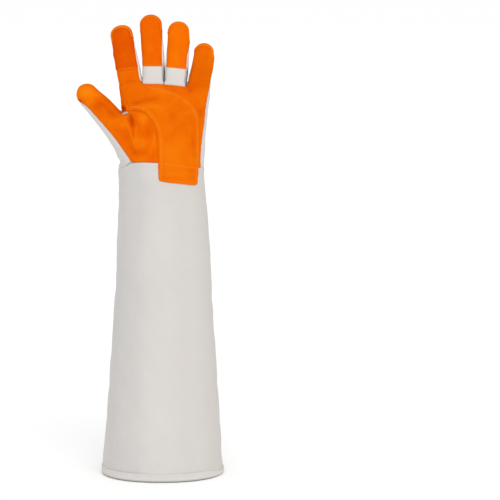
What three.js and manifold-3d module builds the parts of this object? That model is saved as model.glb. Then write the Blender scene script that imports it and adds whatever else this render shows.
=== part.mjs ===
// Long leather gauntlet glove, left hand, standing on the hem of its cuff.
// Millimetres, +Z up, palm towards -Y, thumb towards -X.
// The origin is the centre of the bounding box at the hem's underside.
//
// The glove is one hollow form (cuff, palm, four fingers, thumb) with walls of leather. The form is
// lofted from the short tables below and cut along the seam lines into its separate leather panels.
import * as THREE from "three";
import { mergeVertices } from "three/addons/utils/BufferGeometryUtils.js";
import Module from "manifold-3d";

const wasm = await Module();
wasm.setup();

// ---------------------------------------------------------------- driving dimensions
const WALL = 2.0; // leather, one layer
const HEM_FOLD = 1.4; // how far the folded hem stands outside the cuff
const HEM_HEIGHT = 11.0;
const PATCH_LIFT = 0.3; // air between the palm leather and the patch on it
const PATCH_WALL = 1.6; // the reinforcing patch
const GAP = 0.3; // between neighbouring panels
const FAR = 130; // reach of the cutting prisms in y
const ROUND_SIDES = 28; // facets round the cuff and palm
const FINGER_SIDES = 12; // facets round a finger

// Sleeve and palm, one row for each section: height, left edge, right edge, front depth, back depth,
// roundness (2 is an ellipse) and slope of the section along x.
const SECTIONS = [
  { z: 0, xl: -79.6, xr: 79.4, yf: 60.1, yb: 60.1, e: 2.15, slope: 0 },
  { z: 55, xl: -75.0, xr: 75.7, yf: 56.6, yb: 56.6, e: 2.15, slope: 0 },
  { z: 110, xl: -69.9, xr: 72.4, yf: 53.1, yb: 53.1, e: 2.15, slope: 0 },
  { z: 165, xl: -65.7, xr: 68.9, yf: 49.7, yb: 49.7, e: 2.15, slope: 0 },
  { z: 220, xl: -61.7, xr: 65.8, yf: 46.2, yb: 46.2, e: 2.15, slope: 0 },
  { z: 275, xl: -58.4, xr: 63.0, yf: 43.0, yb: 43.0, e: 2.15, slope: 0 },
  { z: 330, xl: -55.7, xr: 60.0, yf: 39.6, yb: 39.6, e: 2.15, slope: 0 },
  { z: 372, xl: -53.2, xr: 56.0, yf: 37.0, yb: 37.0, e: 2.2, slope: 0 },
  { z: 395, xl: -53.2, xr: 54.5, yf: 36.4, yb: 36.0, e: 2.2, slope: 0 },
  { z: 412, xl: -54.2, xr: 54.8, yf: 36.0, yb: 34.4, e: 2.25, slope: 0 },
  { z: 430, xl: -53.6, xr: 56.4, yf: 35.0, yb: 31.5, e: 2.3, slope: 0 },
  { z: 450, xl: -52.0, xr: 57.6, yf: 33.0, yb: 28.5, e: 2.3, slope: 0 },
  { z: 470, xl: -49.8, xr: 59.4, yf: 30.0, yb: 25.8, e: 2.3, slope: 0 },
  { z: 488, xl: -49.5, xr: 60.2, yf: 26.6, yb: 23.0, e: 2.3, slope: 0 },
  { z: 501, xl: -50.0, xr: 61.6, yf: 22.8, yb: 19.8, e: 2.3, slope: -0.04 },
  { z: 511, xl: -48.0, xr: 59.0, yf: 17.2, yb: 15.2, e: 2.3, slope: -0.1 },
  { z: 516.2, xl: -38.0, xr: 48.0, yf: 7.0, yb: 6.4, e: 2.2, slope: -0.112 },
];

// Soft dents of the standing glove: centre x and z, side (-1 palm, 1 back), radius across and up, depth
const DENTS = [
  { x: -34, z: 60, side: -1, rx: 16, rz: 70, depth: 2.2 },
  { x: 38, z: 95, side: -1, rx: 15, rz: 80, depth: 1.8 },
  { x: -20, z: 225, side: -1, rx: 14, rz: 70, depth: 1.8 },
  { x: 26, z: 290, side: -1, rx: 14, rz: 60, depth: 1.6 },
  { x: -24, z: 372, side: -1, rx: 22, rz: 14, depth: 2.0 },
  { x: 10, z: 455, side: -1, rx: 20, rz: 26, depth: 2.6 },
  { x: 30, z: 70, side: 1, rx: 18, rz: 75, depth: 2.2 },
  { x: -22, z: 180, side: 1, rx: 16, rz: 80, depth: 1.8 },
  { x: 18, z: 310, side: 1, rx: 16, rz: 60, depth: 1.8 },
  { x: 4, z: 392, side: 1, rx: 40, rz: 10, depth: 1.6 },
  { x: -6, z: 468, side: 1, rx: 14, rz: 30, depth: 1.6 },
];

// Digits: axis point x, y, z, half width, half depth. The last row starts the domed tip of length dome.
const DIGITS = {
  index: {
    dome: 13.2,
    rows: [
      { x: -34.5, y: -1.5, z: 486, hw: 13.0, hd: 12.4 },
      { x: -37.1, y: -2.0, z: 511, hw: 13.9, hd: 12.4 },
      { x: -39.4, y: -2.6, z: 527, hw: 14.4, hd: 12.5 },
      { x: -43.4, y: -3.6, z: 545, hw: 14.6, hd: 12.4 },
      { x: -46.5, y: -4.8, z: 560, hw: 13.9, hd: 12.0 },
      { x: -49.2, y: -6.0, z: 572.2, hw: 13.1, hd: 11.3 },
    ],
  },
  middle: {
    dome: 13.2,
    rows: [
      { x: -8.2, y: -1.5, z: 488, hw: 13.0, hd: 12.6 },
      { x: -9.0, y: -2.0, z: 514, hw: 13.3, hd: 12.6 },
      { x: -9.3, y: -2.8, z: 536, hw: 14.0, hd: 12.5 },
      { x: -10.5, y: -3.9, z: 557, hw: 13.7, hd: 12.2 },
      { x: -11.2, y: -5.4, z: 575, hw: 13.1, hd: 11.8 },
      { x: -11.4, y: -6.4, z: 586, hw: 12.6, hd: 11.2 },
    ],
  },
  ring: {
    dome: 13.2,
    rows: [
      { x: 17.4, y: -1.5, z: 486, hw: 13.0, hd: 12.4 },
      { x: 19.4, y: -2.0, z: 512, hw: 13.7, hd: 12.4 },
      { x: 21.2, y: -2.7, z: 532, hw: 14.4, hd: 12.4 },
      { x: 22.8, y: -3.8, z: 551, hw: 13.8, hd: 12.1 },
      { x: 23.6, y: -5.0, z: 566, hw: 13.1, hd: 11.7 },
      { x: 24.1, y: -6.0, z: 577.4, hw: 12.5, hd: 11.1 },
    ],
  },
  little: {
    dome: 12.0,
    rows: [
      { x: 45.0, y: -1.5, z: 476, hw: 12.8, hd: 11.8 },
      { x: 48.0, y: -2.0, z: 500, hw: 13.6, hd: 11.8 },
      { x: 50.3, y: -2.4, z: 515, hw: 13.3, hd: 11.7 },
      { x: 53.5, y: -3.2, z: 530, hw: 13.0, hd: 11.4 },
      { x: 56.2, y: -4.4, z: 545, hw: 12.3, hd: 10.8 },
      { x: 56.6, y: -4.9, z: 551, hw: 11.8, hd: 10.5 },
    ],
  },
  thumb: {
    dome: 13.4,
    rows: [
      { x: -27.0, y: -2.0, z: 424.0, hw: 27.0, hd: 27.0 },
      { x: -44.0, y: -3.5, z: 446.0, hw: 23.6, hd: 22.5 },
      { x: -55.0, y: -5.0, z: 457.2, hw: 19.9, hd: 18.6 },
      { x: -63.3, y: -6.0, z: 464.7, hw: 17.0, hd: 16.2 },
      { x: -72.0, y: -7.0, z: 474.2, hw: 15.2, hd: 14.4 },
      { x: -81.3, y: -8.2, z: 484.6, hw: 14.1, hd: 13.2 },
      { x: -88.6, y: -9.2, z: 492.4, hw: 13.8, hd: 12.5 },
      { x: -94.2, y: -10.0, z: 498.0, hw: 13.4, hd: 11.8 },
    ],
  },
};

// Seam lines in the view from the palm, as [x, z] pairs.
const LINE = {
  wristFront: [[-140, 402], [-56, 402], [-48, 405], [-36, 412.3], [-2, 411], [22, 408.6], [50, 404], [58, 403.4], [140, 403.4]],
  wristBack: [[-140, 402], [-56, 402], [-48, 405], [-34, 407.6], [42, 407.6], [50, 404], [58, 403.4], [140, 403.4]],
  gapIndexMiddle: [[-22.8, 480], [-22.8, 514], [-23.9, 527], [-25.7, 540], [-27.8, 555], [-31, 620]],
  gapMiddleRing: [[5.0, 480], [5.0, 514], [5.5, 530], [6.2, 545], [6.8, 620]],
  gapRingLittle: [[33.6, 470], [34.2, 505], [35.2, 515], [38, 531], [41, 560], [46, 620]],
  rootOfFingers: [[-22.8, 512.0], [-6, 511.2], [12.5, 509.4], [34.4, 506.6]], // lower edge of the finger root band
  thumbArc: [[-49.5, 476.2], [-39.4, 477.3], [-32.4, 479], [-26, 479], [-20.3, 477.3], [-14.6, 472.8], [-9, 465.8], [-5.2, 458], [-2.8, 449], [-1.3, 438.5], [-1, 426], [-1.2, 405]],
  thumbOuter: [[-36, 405], [-36.6, 413.5], [-51.5, 436], [-60.5, 446.5], [-73.2, 462.4], [-86, 477.4], [-100.5, 490], [-112, 500]],
  thumbOnBack: [[-52, 395], [-51.0, 408], [-50.0, 430], [-48.8, 455], [-47.6, 476.5], [-47.6, 480]],
  littleOuter: [[51.4, 395], [51.4, 420], [52, 434], [53.8, 448.5], [55.8, 463], [56.8, 477], [58.6, 491], [61.6, 505], [65.4, 519], [68.4, 530], [80, 548]],
  patchTop: [[-60, 508.5], [-49.5, 509], [-45, 513], [-38, 514.8], [-31, 514.8], [-24.2, 512.0], [-12.6, 508.8], [-1, 506.2], [9, 503.4], [20.5, 499.8], [29.5, 495], [38, 488], [44.4, 480.5], [48.2, 472], [49.7, 462], [50, 441], [49.8, 421], [49.6, 405]],
  patchTab: [[49.3, 390], [48.6, 385.8], [46, 383.6], [42, 383], [25.7, 384.6], [4, 387], [0.6, 388.2], [-1.4, 391.2], [-1.4, 400]],
};

// Lower edges of the orange fingertips: front seam, and the edge of the cap on the back, as [x, z] pairs.
const TIPS = {
  index: { front: [[-90, 524.6], [-56, 529.8], [-26, 533.4]], back: [[-90, 543], [-60.5, 545], [-56.5, 557], [-51.5, 566], [-45.5, 570.5], [-36.5, 569], [-26, 566]] },
  middle: { front: [[-30, 535.6], [10, 535.6]], back: [[-30, 574], [-24, 574.5], [-18.5, 581.5], [-11, 584.4], [-3.5, 582], [2, 576], [10, 572]] },
  ring: { front: [[0, 535.8], [8, 535.2], [42, 532]], back: [[0, 571], [10, 573.2], [15, 576.4], [22.5, 576], [29, 571.5], [35, 563], [45, 556]] },
  little: { front: null, back: [[34, 551.5], [46, 552], [52, 550.6], [58.5, 546], [64, 537], [67, 529.5], [72, 520], [90, 512]] },
};

// Where the seam round the thumb runs, seen from above, as [x, y] pairs
const THUMB_SIDE = [[60, 3], [-50, 2], [-108, -7], [-140, -12]];

// Fourchettes: half height in y at the crotch and at the upper end, and the top end's z
const FOURCHETTE = {
  index_middle: { left: "index", right: "middle", crotch: 7.2, top: 3.0, zTop: [563, 572] },
  middle_ring: { left: "middle", right: "ring", crotch: 7.2, top: 3.0, zTop: [572, 562] },
  ring_little: { left: "ring", right: "little", crotch: 7.0, top: 3.0, zTop: [562, 541] },
};

// ---------------------------------------------------------------- solids
function solidOf(geometry) {
  const g = geometry.clone();
  for (const name of Object.keys(g.attributes)) if (name !== "position") g.deleteAttribute(name);
  const merged = mergeVertices(g, 1e-4);
  const made = new wasm.Manifold(
    new wasm.Mesh({ numProp: 3, vertProperties: merged.attributes.position.array, triVerts: new Uint32Array(merged.index.array) }),
  );
  return made;
}

function geometryOf(solid) {
  const m = solid.getMesh();
  const g = new THREE.BufferGeometry();
  g.setAttribute("position", new THREE.BufferAttribute(new Float32Array(m.vertProperties), 3));
  g.setIndex(new THREE.BufferAttribute(new Uint32Array(m.triVerts), 1));
  const flat = g.toNonIndexed();
  flat.computeVertexNormals();
  return flat;
}

// A closed loft through rings with the same number of points, with a fan over each end.
function loft(rings) {
  const n = rings[0].length;
  const points = rings.flat();
  const end = (ring) => ring.reduce((s, p) => s.add(p), new THREE.Vector3()).divideScalar(n);
  const first = points.length, last = first + 1;
  points.push(end(rings[0]), end(rings[rings.length - 1]));
  const index = [];
  for (let r = 0; r + 1 < rings.length; r++)
    for (let i = 0; i < n; i++) {
      const a = r * n + i, b = r * n + ((i + 1) % n), c = a + n, d = b + n;
      index.push(a, b, d, a, d, c);
    }
  const top = (rings.length - 1) * n;
  for (let i = 0; i < n; i++) {
    index.push(first, (i + 1) % n, i);
    index.push(last, top + i, top + ((i + 1) % n));
  }
  const g = new THREE.BufferGeometry().setFromPoints(points);
  g.setIndex(index);
  const made = solidOf(g);
  if (made.volume() > 0) return made;
  for (let i = 0; i < index.length; i += 3) [index[i + 1], index[i + 2]] = [index[i + 2], index[i + 1]];
  g.setIndex(index);
  return solidOf(g);
}

// Point i of a rounded section with exponent e: [across, depth], each from -1 to 1.
function roundAt(i, sides, e) {
  const a = (2 * Math.PI * (i + 0.5)) / sides;
  const c = Math.cos(a), s = Math.sin(a);
  return [Math.sign(c) * Math.abs(c) ** (2 / e), Math.sign(s) * Math.abs(s) ** (2 / e)];
}

// One section of the sleeve or palm, grown by `by` (a negative number shrinks it).
function roundRing(row, by) {
  const cx = (row.xl + row.xr) / 2, hw = (row.xr - row.xl) / 2 + by;
  return Array.from({ length: ROUND_SIDES }, (_, i) => {
    const [u, v] = roundAt(i, ROUND_SIDES, row.e);
    const x = cx + hw * u, side = v < 0 ? -1 : 1;
    const dent = DENTS.filter((d) => d.side === side).reduce((s, d) => {
      const far = ((x - d.x) / d.rx) ** 2 + ((row.z - d.z) / d.rz) ** 2;
      return s + d.depth * Math.exp(-far) * Math.min(1, 2 * Math.abs(v));
    }, 0);
    return new THREE.Vector3(x, v * ((v < 0 ? row.yf : row.yb) + by) - side * dent, row.z + row.slope * (x + 23));
  });
}

// The table's row at a height
function sectionAt(z) {
  const k = Math.max(0, SECTIONS.findIndex((r) => r.z >= z) - 1);
  const a = SECTIONS[k], b = SECTIONS[k + 1], t = (z - a.z) / (b.z - a.z);
  return Object.fromEntries(Object.keys(a).map((n) => [n, a[n] + (b[n] - a[n]) * t]));
}

// The sleeve and palm between two heights; the closed upper end moves with `by`
function sleeveForm(by, z0 = 0, z1 = 600) {
  const rows = SECTIONS.filter((r) => r.z > z0 + 1 && r.z < z1 - 1);
  const rings = [{ ...sectionAt(Math.max(z0, 0)), z: z0 }, ...rows].map((r) => {
    const top = r.z > 505 ? by : 0;
    return roundRing(r, by).map((p) => p.setZ(p.z + top));
  });
  if (z1 < 500) rings.push(roundRing({ ...sectionAt(z1), z: z1 }, by));
  return loft(rings);
}

function digitForm(name, by) {
  const { rows, dome } = DIGITS[name];
  const centre = rows.map((r) => new THREE.Vector3(r.x, r.y, r.z));
  const rings = [];
  const ring = (c, along, hw, hd) => {
    const across = new THREE.Vector3(along.z, 0, -along.x).normalize();
    const depth = new THREE.Vector3().crossVectors(along, across).normalize().negate();
    if (depth.y < 0) depth.negate();
    return Array.from({ length: FINGER_SIDES }, (_, i) => {
      const [u, v] = roundAt(i, FINGER_SIDES, 2.5);
      return c.clone().addScaledVector(across, u * hw).addScaledVector(depth, v * hd);
    });
  };
  rows.forEach((r, i) => {
    const along = centre[Math.min(i + 1, rows.length - 1)].clone().sub(centre[Math.max(i - 1, 0)]).normalize();
    rings.push(ring(centre[i], along, r.hw + by, r.hd + by));
  });
  const last = rows[rows.length - 1];
  const along = centre[rows.length - 1].clone().sub(centre[rows.length - 2]).normalize();
  for (const degrees of [28, 54, 76]) {
    const t = (degrees * Math.PI) / 180;
    rings.push(ring(centre[rows.length - 1].clone().addScaledVector(along, (dome + by) * Math.sin(t)), along, (last.hw + by) * Math.cos(t), (last.hd + by) * Math.cos(t)));
  }
  return loft(rings);
}

// The whole glove as one closed form, grown by `by`. low is where it starts.
function gloveForm(by, low = 0) {
  let made = sleeveForm(by, low);
  for (const name of Object.keys(DIGITS)) made = made.add(digitForm(name, by));
  return made;
}

// ---------------------------------------------------------------- cutting prisms
// A polygon of [x, z] pairs pulled in by `by` on every side.
function inset(points, by) {
  const area = points.reduce((s, [x, z], i) => {
    const [u, w] = points[(i + 1) % points.length];
    return s + x * w - u * z;
  }, 0);
  const ring = area > 0 ? points : [...points].reverse();
  return ring.map((p, i) => {
    const a = ring[(i + ring.length - 1) % ring.length], b = ring[(i + 1) % ring.length];
    const u = new THREE.Vector2(p[0] - a[0], p[1] - a[1]).normalize();
    const w = new THREE.Vector2(b[0] - p[0], b[1] - p[1]).normalize();
    const nu = new THREE.Vector2(-u.y, u.x), nw = new THREE.Vector2(-w.y, w.x);
    const m = nu.clone().add(nw).normalize();
    const grow = by / Math.max(0.35, m.dot(nu));
    return [p[0] + m.x * grow, p[1] + m.y * grow];
  });
}

// The prism over an [x, z] polygon between y0 and y1, half a gap inside its own outline.
function prism(points, y0, y1) {
  const shape = new THREE.Shape(inset(points, GAP / 2).map(([x, z]) => new THREE.Vector2(x, z)));
  const g = new THREE.ExtrudeGeometry(shape, { depth: y1 - y0, bevelEnabled: false, steps: 1 });
  g.rotateX(Math.PI / 2); // the shape's second axis becomes z, the extrusion runs towards -y
  g.translate(0, y1, 0);
  return solidOf(g);
}

// The prism over a [y, z] polygon between x0 and x1, exactly on its outline.
function sidePrism(points, x0, x1) {
  const shape = new THREE.Shape(points.map(([y, z]) => new THREE.Vector2(y, z)));
  const g = new THREE.ExtrudeGeometry(shape, { depth: x1 - x0, bevelEnabled: false, steps: 1 });
  g.rotateX(Math.PI / 2);
  g.rotateZ(Math.PI / 2);
  g.translate(x0, 0, 0);
  return solidOf(g);
}

const FRONT = [-FAR, -GAP / 2], BACK = [GAP / 2, FAR];
const back = (line) => [...line].reverse();
const above = (line, z) => line.filter((p) => p[1] > z);

// Where a line crosses a height (xAt) or a vertical (zAt); past its ends the line runs straight on.
function crossing(line, along, across, at) {
  const found = line.findIndex((p) => p[along] >= at);
  const i = found < 0 ? line.length - 1 : Math.max(1, found);
  const [a, b] = [line[i - 1], line[i]];
  return a[across] + ((b[across] - a[across]) * (at - a[along])) / (b[along] - a[along]);
}
const xAt = (line, z) => crossing(line, 1, 0, z);
const zAt = (line, x) => crossing(line, 0, 1, x);

// ---------------------------------------------------------------- panels
const body = gloveForm(0);
const hollow = gloveForm(-WALL, -5);
const shell = body.subtract(hollow);

// fourchettes: the strips that run up one finger and down the next
const slot = {}, fourchette = {};
for (const [name, f] of Object.entries(FOURCHETTE)) {
  const axis = (digit, k) => DIGITS[digit].rows.map((r) => [r.x, r.z + k]);
  const l = axis(f.left, 0).filter((p) => p[1] > 502), r = axis(f.right, 0).filter((p) => p[1] > 502);
  const gap = { index_middle: LINE.gapIndexMiddle, middle_ring: LINE.gapMiddleRing, ring_little: LINE.gapRingLittle }[name];
  const upTo = (points, z) => points.filter((p) => p[1] < z - 2);
  const front = [
    [xAt(axis(f.left, 0), 500), 500], [xAt(axis(f.right, 0), 500), 500],
    ...upTo(r, f.zTop[1]), [xAt(axis(f.right, 0), f.zTop[1]), f.zTop[1]],
    [xAt(gap, Math.min(...f.zTop)), Math.min(...f.zTop)],
    [xAt(axis(f.left, 0), f.zTop[0]), f.zTop[0]], ...upTo(l, f.zTop[0]).reverse(),
  ];
  const z1 = Math.max(...f.zTop);
  const profile = (by) => [[-f.crotch - 2 + by, 500], [f.crotch - 2 - by, 500], [f.crotch - 2 - by, 520], [f.top - 5 - by, z1], [-f.top - 5 + by, z1], [-f.crotch - 2 + by, 520]];
  const wide = prism(front, -FAR, FAR);
  fourchette[name] = shell.intersect(wide).intersect(sidePrism(profile(GAP / 2), -FAR, FAR));
  slot[name] = prism(inset(front, -GAP), -FAR, FAR).intersect(sidePrism(profile(-GAP / 2), -FAR, FAR));
}
const clearSlots = (solid) => Object.values(slot).reduce((s, cut) => s.subtract(cut), solid);
const handShell = clearSlots(shell);

const TOP = 640, LEFT = -140, RIGHT = 140;
const column = {
  index: { left: [[LEFT, 470], [LEFT, TOP]], right: LINE.gapIndexMiddle },
  middle: { left: LINE.gapIndexMiddle, right: LINE.gapMiddleRing },
  ring: { left: LINE.gapMiddleRing, right: LINE.gapRingLittle },
  little: { left: LINE.gapRingLittle, right: [[RIGHT, 470], [RIGHT, TOP]] },
};
// the part of a finger's column above a lower edge
function columnAbove(name, edge) {
  const { left, right } = column[name];
  const lx = (z) => xAt(left, z), rx = (z) => xAt(right, z);
  const zl = zAt(edge, name === "index" ? LEFT : lx(550)), zr = zAt(edge, name === "little" ? RIGHT : rx(550));
  const x0 = lx(zl), x1 = rx(zr);
  const inner = edge.filter(([x]) => x > x0 + 0.5 && x < x1 - 0.5);
  const upL = left.filter(([, z]) => z > zl + 1 && z < 600), upR = right.filter(([, z]) => z > zr + 1 && z < 600);
  return [[x0, zl], ...inner, [x1, zr], ...upR, [rx(610), 610], [lx(610), 610], ...upL.reverse()];
}

const cap = {}, pad = {};
for (const name of Object.keys(TIPS)) {
  cap[name] = prism(columnAbove(name, TIPS[name].back), -GAP / 2 - 1, FAR);
  if (TIPS[name].front) pad[name] = prism(columnAbove(name, TIPS[name].front), ...FRONT);
}
const tipPanel = (name) => handShell.intersect(pad[name].add(cap[name]));

// finger root band: the light leather at the roots of the two middle fingers, in front
const bandTop = (name) => {
  const line = TIPS[name].front;
  return [[xAt(column[name].left, zAt(line, xAt(column[name].left, 534))), zAt(line, xAt(column[name].left, 534))], [xAt(column[name].right, zAt(line, xAt(column[name].right, 534))), zAt(line, xAt(column[name].right, 534))]];
};
const bandArea = [
  ...LINE.rootOfFingers,
  ...above(LINE.gapRingLittle, 509).filter((p) => p[1] < 531),
  bandTop("ring")[1], bandTop("ring")[0], bandTop("middle")[1], bandTop("middle")[0],
  ...above(LINE.gapIndexMiddle, 515).filter((p) => p[1] < 534).reverse(),
];
const rootBand = handShell.intersect(prism(bandArea, ...FRONT));

// the light back leather where it comes round to the front on the little finger's side
const sideArea = [[RIGHT, 403.4], [58, 403.4], [51.4, 403.9], ...LINE.littleOuter.slice(1), [RIGHT, 548]];

// thumb, front: the thumb and the ball of the thumb
const thumbFrontArea = [
  ...LINE.thumbArc.slice(0, -1), [-1.1, zAt(LINE.wristFront, -1.1)],
  ...back(LINE.wristFront.filter(([x]) => x > -36.4 && x < -1.5)), [-36.4, zAt(LINE.wristFront, -36.4)],
  ...LINE.thumbOuter.slice(1), [-118, 512], [-118, 530], [-80, 530],
];
const beforeSeam = (by) => {
  const shape = new THREE.Shape([...THUMB_SIDE.map(([x, y]) => new THREE.Vector2(x, y + by)), new THREE.Vector2(-140, -FAR), new THREE.Vector2(60, -FAR)]);
  return solidOf(new THREE.ExtrudeGeometry(shape, { depth: 240, bevelEnabled: false, steps: 1 }).translate(0, 0, 390));
};
const thumbFront = handShell.intersect(prism(thumbFrontArea, -FAR, FAR)).intersect(beforeSeam(-GAP / 2));

// thumb, back: everything else left of the seam on the back, and the strip that comes round in front
const thumbFrontClear = prism(inset(thumbFrontArea, -GAP), -FAR, FAR).intersect(beforeSeam(GAP / 2));
const wristLeftFront = [[LEFT, 402], [-56, 402], [-48, 405], [-36.4, 412.06]];
const thumbBackFrontArea = [...wristLeftFront, [-36.6, 413.5], ...LINE.thumbOuter.slice(2), [-118, 512], [LEFT, 530]];
const thumbBackArea = [
  [LEFT, 402], [-56, 402], [-51.4, 403.73], ...LINE.thumbOnBack.slice(1, -1), [-49.4, 478], [-80, 530], [LEFT, 530],
];
const thumbSideArea = [[LEFT, 415], [-62, 415], [-50.3, 450], [-50.3, 476], [-80, 530], [LEFT, 530]];
const thumbBack = handShell
  .intersect(prism(thumbBackArea, 0, FAR).add(prism(thumbSideArea, -25, 0)).add(prism(thumbBackFrontArea, -FAR, 0)))
  .subtract(thumbFrontClear);

// palm leather: root of the index finger, palm, the whole front of the little finger and its cap
const palmArea = [
  [51.4, 403.9],
  ...LINE.littleOuter.filter(([, z]) => z > 405 && z < 540), [RIGHT, 560], [RIGHT, 612], [xAt(LINE.gapRingLittle, 612), 612],
  ...back(LINE.gapRingLittle.filter(([, z]) => z > 509 && z < 600)),
  ...back(LINE.rootOfFingers),
  ...LINE.gapIndexMiddle.filter(([, z]) => z > 514.5 && z < 532),
  [xAt(LINE.gapIndexMiddle, 533), zAt(TIPS.index.front, -25)], [-56, 529.8], [-66, 528.27],
  ...LINE.thumbArc.slice(0, -1), [-1.1, zAt(LINE.wristFront, -1.1)], [22, 408.6],
];
const palmBase = handShell.intersect(prism(palmArea, ...FRONT).add(cap.little));

// hand back: the backs of the hand and fingers
const backArea = [
  ...back(LINE.thumbOnBack.slice(1, -1)), [-51.4, 403.73], ...LINE.wristBack.slice(2, -1), [RIGHT, 403.4], [RIGHT, TOP], [-120, TOP], [-120, 500], [-80, 500], [-49.4, 478],
];
const capClear = Object.keys(TIPS).map((name) => prism(inset(columnAbove(name, TIPS[name].back), -GAP), -2 - GAP, FAR + 1));
let handBack = handShell.intersect(prism(backArea, 0, FAR).add(prism(sideArea, -FAR, 0)));
for (const cut of capClear) handBack = handBack.subtract(cut);
handBack = handBack.subtract(thumbFrontClear);

// reinforcing patch over the palm, with the tab that runs down over the wrist
const patchArea = [...LINE.patchTop, ...LINE.patchTab, [-1.2, 411], ...back(LINE.thumbArc.slice(0, -1))];
const patchLayer = gloveForm(PATCH_LIFT + PATCH_WALL).subtract(gloveForm(PATCH_LIFT, -5));
const palmPatch = patchLayer.intersect(prism(patchArea, ...FRONT));

// cuff and its folded hem
const under = (line, z0) => [[LEFT, z0], ...line, [RIGHT, z0]];
const cuffBody = shell.intersect(
  prism(under(LINE.wristFront, HEM_HEIGHT), -FAR, 0).add(prism(under(LINE.wristBack, HEM_HEIGHT), 0, FAR)),
);
const hemBand = sleeveForm(HEM_FOLD, 0, HEM_HEIGHT - GAP / 2).subtract(sleeveForm(-WALL, -5, 20));

// ---------------------------------------------------------------- scene graph
const orange = new THREE.MeshStandardMaterial({ color: 0xf26c00, roughness: 0.92, metalness: 0 });
const light = new THREE.MeshStandardMaterial({ color: 0xdcd9d4, roughness: 0.85, metalness: 0 });
const glove = new THREE.Group();

// the largest body of a cut, without the slivers that a cut can leave
function main(solid) {
  const parts = solid.decompose();
  return parts.reduce((a, b) => (b.volume() > a.volume() ? b : a));
}

function add(name, solid, material) {
  const mesh = new THREE.Mesh(geometryOf(main(solid)), material);
  mesh.name = name;
  glove.add(mesh);
}

add("cuff_hem", hemBand, light);
add("cuff_body", cuffBody, light);
add("hand_back", handBack, light);
add("thumb_back", thumbBack, light);
add("finger_root_band", rootBand, light);
add("fourchette_index_middle", fourchette.index_middle, light);
add("fourchette_middle_ring", fourchette.middle_ring, light);
add("fourchette_ring_little", fourchette.ring_little, light);
add("thumb_front", thumbFront, orange);
add("palm_base", palmBase, orange);
add("palm_patch", palmPatch, orange);
add("index_tip", tipPanel("index"), orange);
add("middle_tip", tipPanel("middle"), orange);
add("ring_tip", tipPanel("ring"), orange);

// the frame's origin: centre of the bounding box, at the floor
const bounds = new THREE.Box3().setFromObject(glove);
const centre = bounds.getCenter(new THREE.Vector3());
glove.position.set(-centre.x, -centre.y, -bounds.min.z);

export default glove;
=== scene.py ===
# Long leather gauntlet glove, left hand, standing on the hem of its cuff.
# The leather panels, seams, stitches and finish. Tables are in millimetres in the glove's own frame
# (palm towards -Y, thumb towards -X, Z up from the hem); pieces are written in metres.
import math

import bpy
import numpy as np
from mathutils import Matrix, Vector
from mathutils.kdtree import KDTree


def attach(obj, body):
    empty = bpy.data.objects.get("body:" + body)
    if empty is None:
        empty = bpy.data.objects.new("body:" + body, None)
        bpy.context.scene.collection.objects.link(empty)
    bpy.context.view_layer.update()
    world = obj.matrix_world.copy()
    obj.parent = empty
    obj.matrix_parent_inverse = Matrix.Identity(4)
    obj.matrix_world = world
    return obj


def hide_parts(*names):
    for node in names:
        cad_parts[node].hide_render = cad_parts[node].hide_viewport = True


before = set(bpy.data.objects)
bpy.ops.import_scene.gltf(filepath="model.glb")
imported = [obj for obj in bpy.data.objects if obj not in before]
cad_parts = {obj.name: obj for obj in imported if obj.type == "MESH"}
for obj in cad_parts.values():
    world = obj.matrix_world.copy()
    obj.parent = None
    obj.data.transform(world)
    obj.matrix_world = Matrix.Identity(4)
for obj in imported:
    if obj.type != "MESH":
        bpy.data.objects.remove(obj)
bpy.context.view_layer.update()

SHIFT = np.array([13.542, -0.0015, 0.0])  # from the glove's frame to the record's frame, mm
CELL = 1.12  # mesh step on the hand, mm
LEATHER = 1.5  # panel thickness, mm
PATCH_UP = 1.25  # how far the patch stands above the palm leather

# ------------------------------------------------------------------ tables
# silhouette of sleeve and palm: height, left, right
EDGES = np.array([
    [0, -79.9, 79.9], [21.7, -78.9, 77.9], [42, -77.0, 77.3], [69, -74.0, 74.7], [96, -71.4, 73.0], [123, -69.2, 71.6],
    [150, -67.2, 70.5], [176, -65.2, 69.4], [203, -63.2, 67.8], [229, -61.3, 66.0], [256, -59.6, 64.8], [282, -58.6, 63.8],
    [308, -57.4, 62.5], [334, -55.8, 60.9], [360, -54.1, 58.8], [386, -53.3, 55.8], [399.5, -54.2, 55.3], [412, -53.4, 55.8],
    [430, -53.2, 57.4], [450, -52.2, 58.7], [470, -49.4, 60.4], [479, -50.2, 60.7], [488, -51.0, 61.0],
    [501, -51.3, 62.0],
])
# depth of sleeve and palm: height, towards the palm side, towards the back, roundness
DEPTHS = np.array([
    [0, 60.1, 60.1, 2.15], [55, 56.6, 56.6, 2.15], [110, 53.1, 53.1, 2.15], [165, 49.7, 49.7, 2.15], [220, 46.2, 46.2, 2.15],
    [275, 43.0, 43.0, 2.15], [330, 39.6, 39.6, 2.15], [372, 37.0, 37.0, 2.2], [395, 36.4, 36.0, 2.2], [412, 36.0, 34.4, 2.25],
    [430, 35.0, 31.5, 2.3], [450, 33.0, 28.0, 2.3], [470, 30.0, 24.5, 2.3], [488, 26.6, 20.3, 2.3], [501, 22.8, 16.4, 2.3],
])
DOME_Z, DOME_H = 499.5, 17.6  # the palm's rounded top under the fingers

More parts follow.
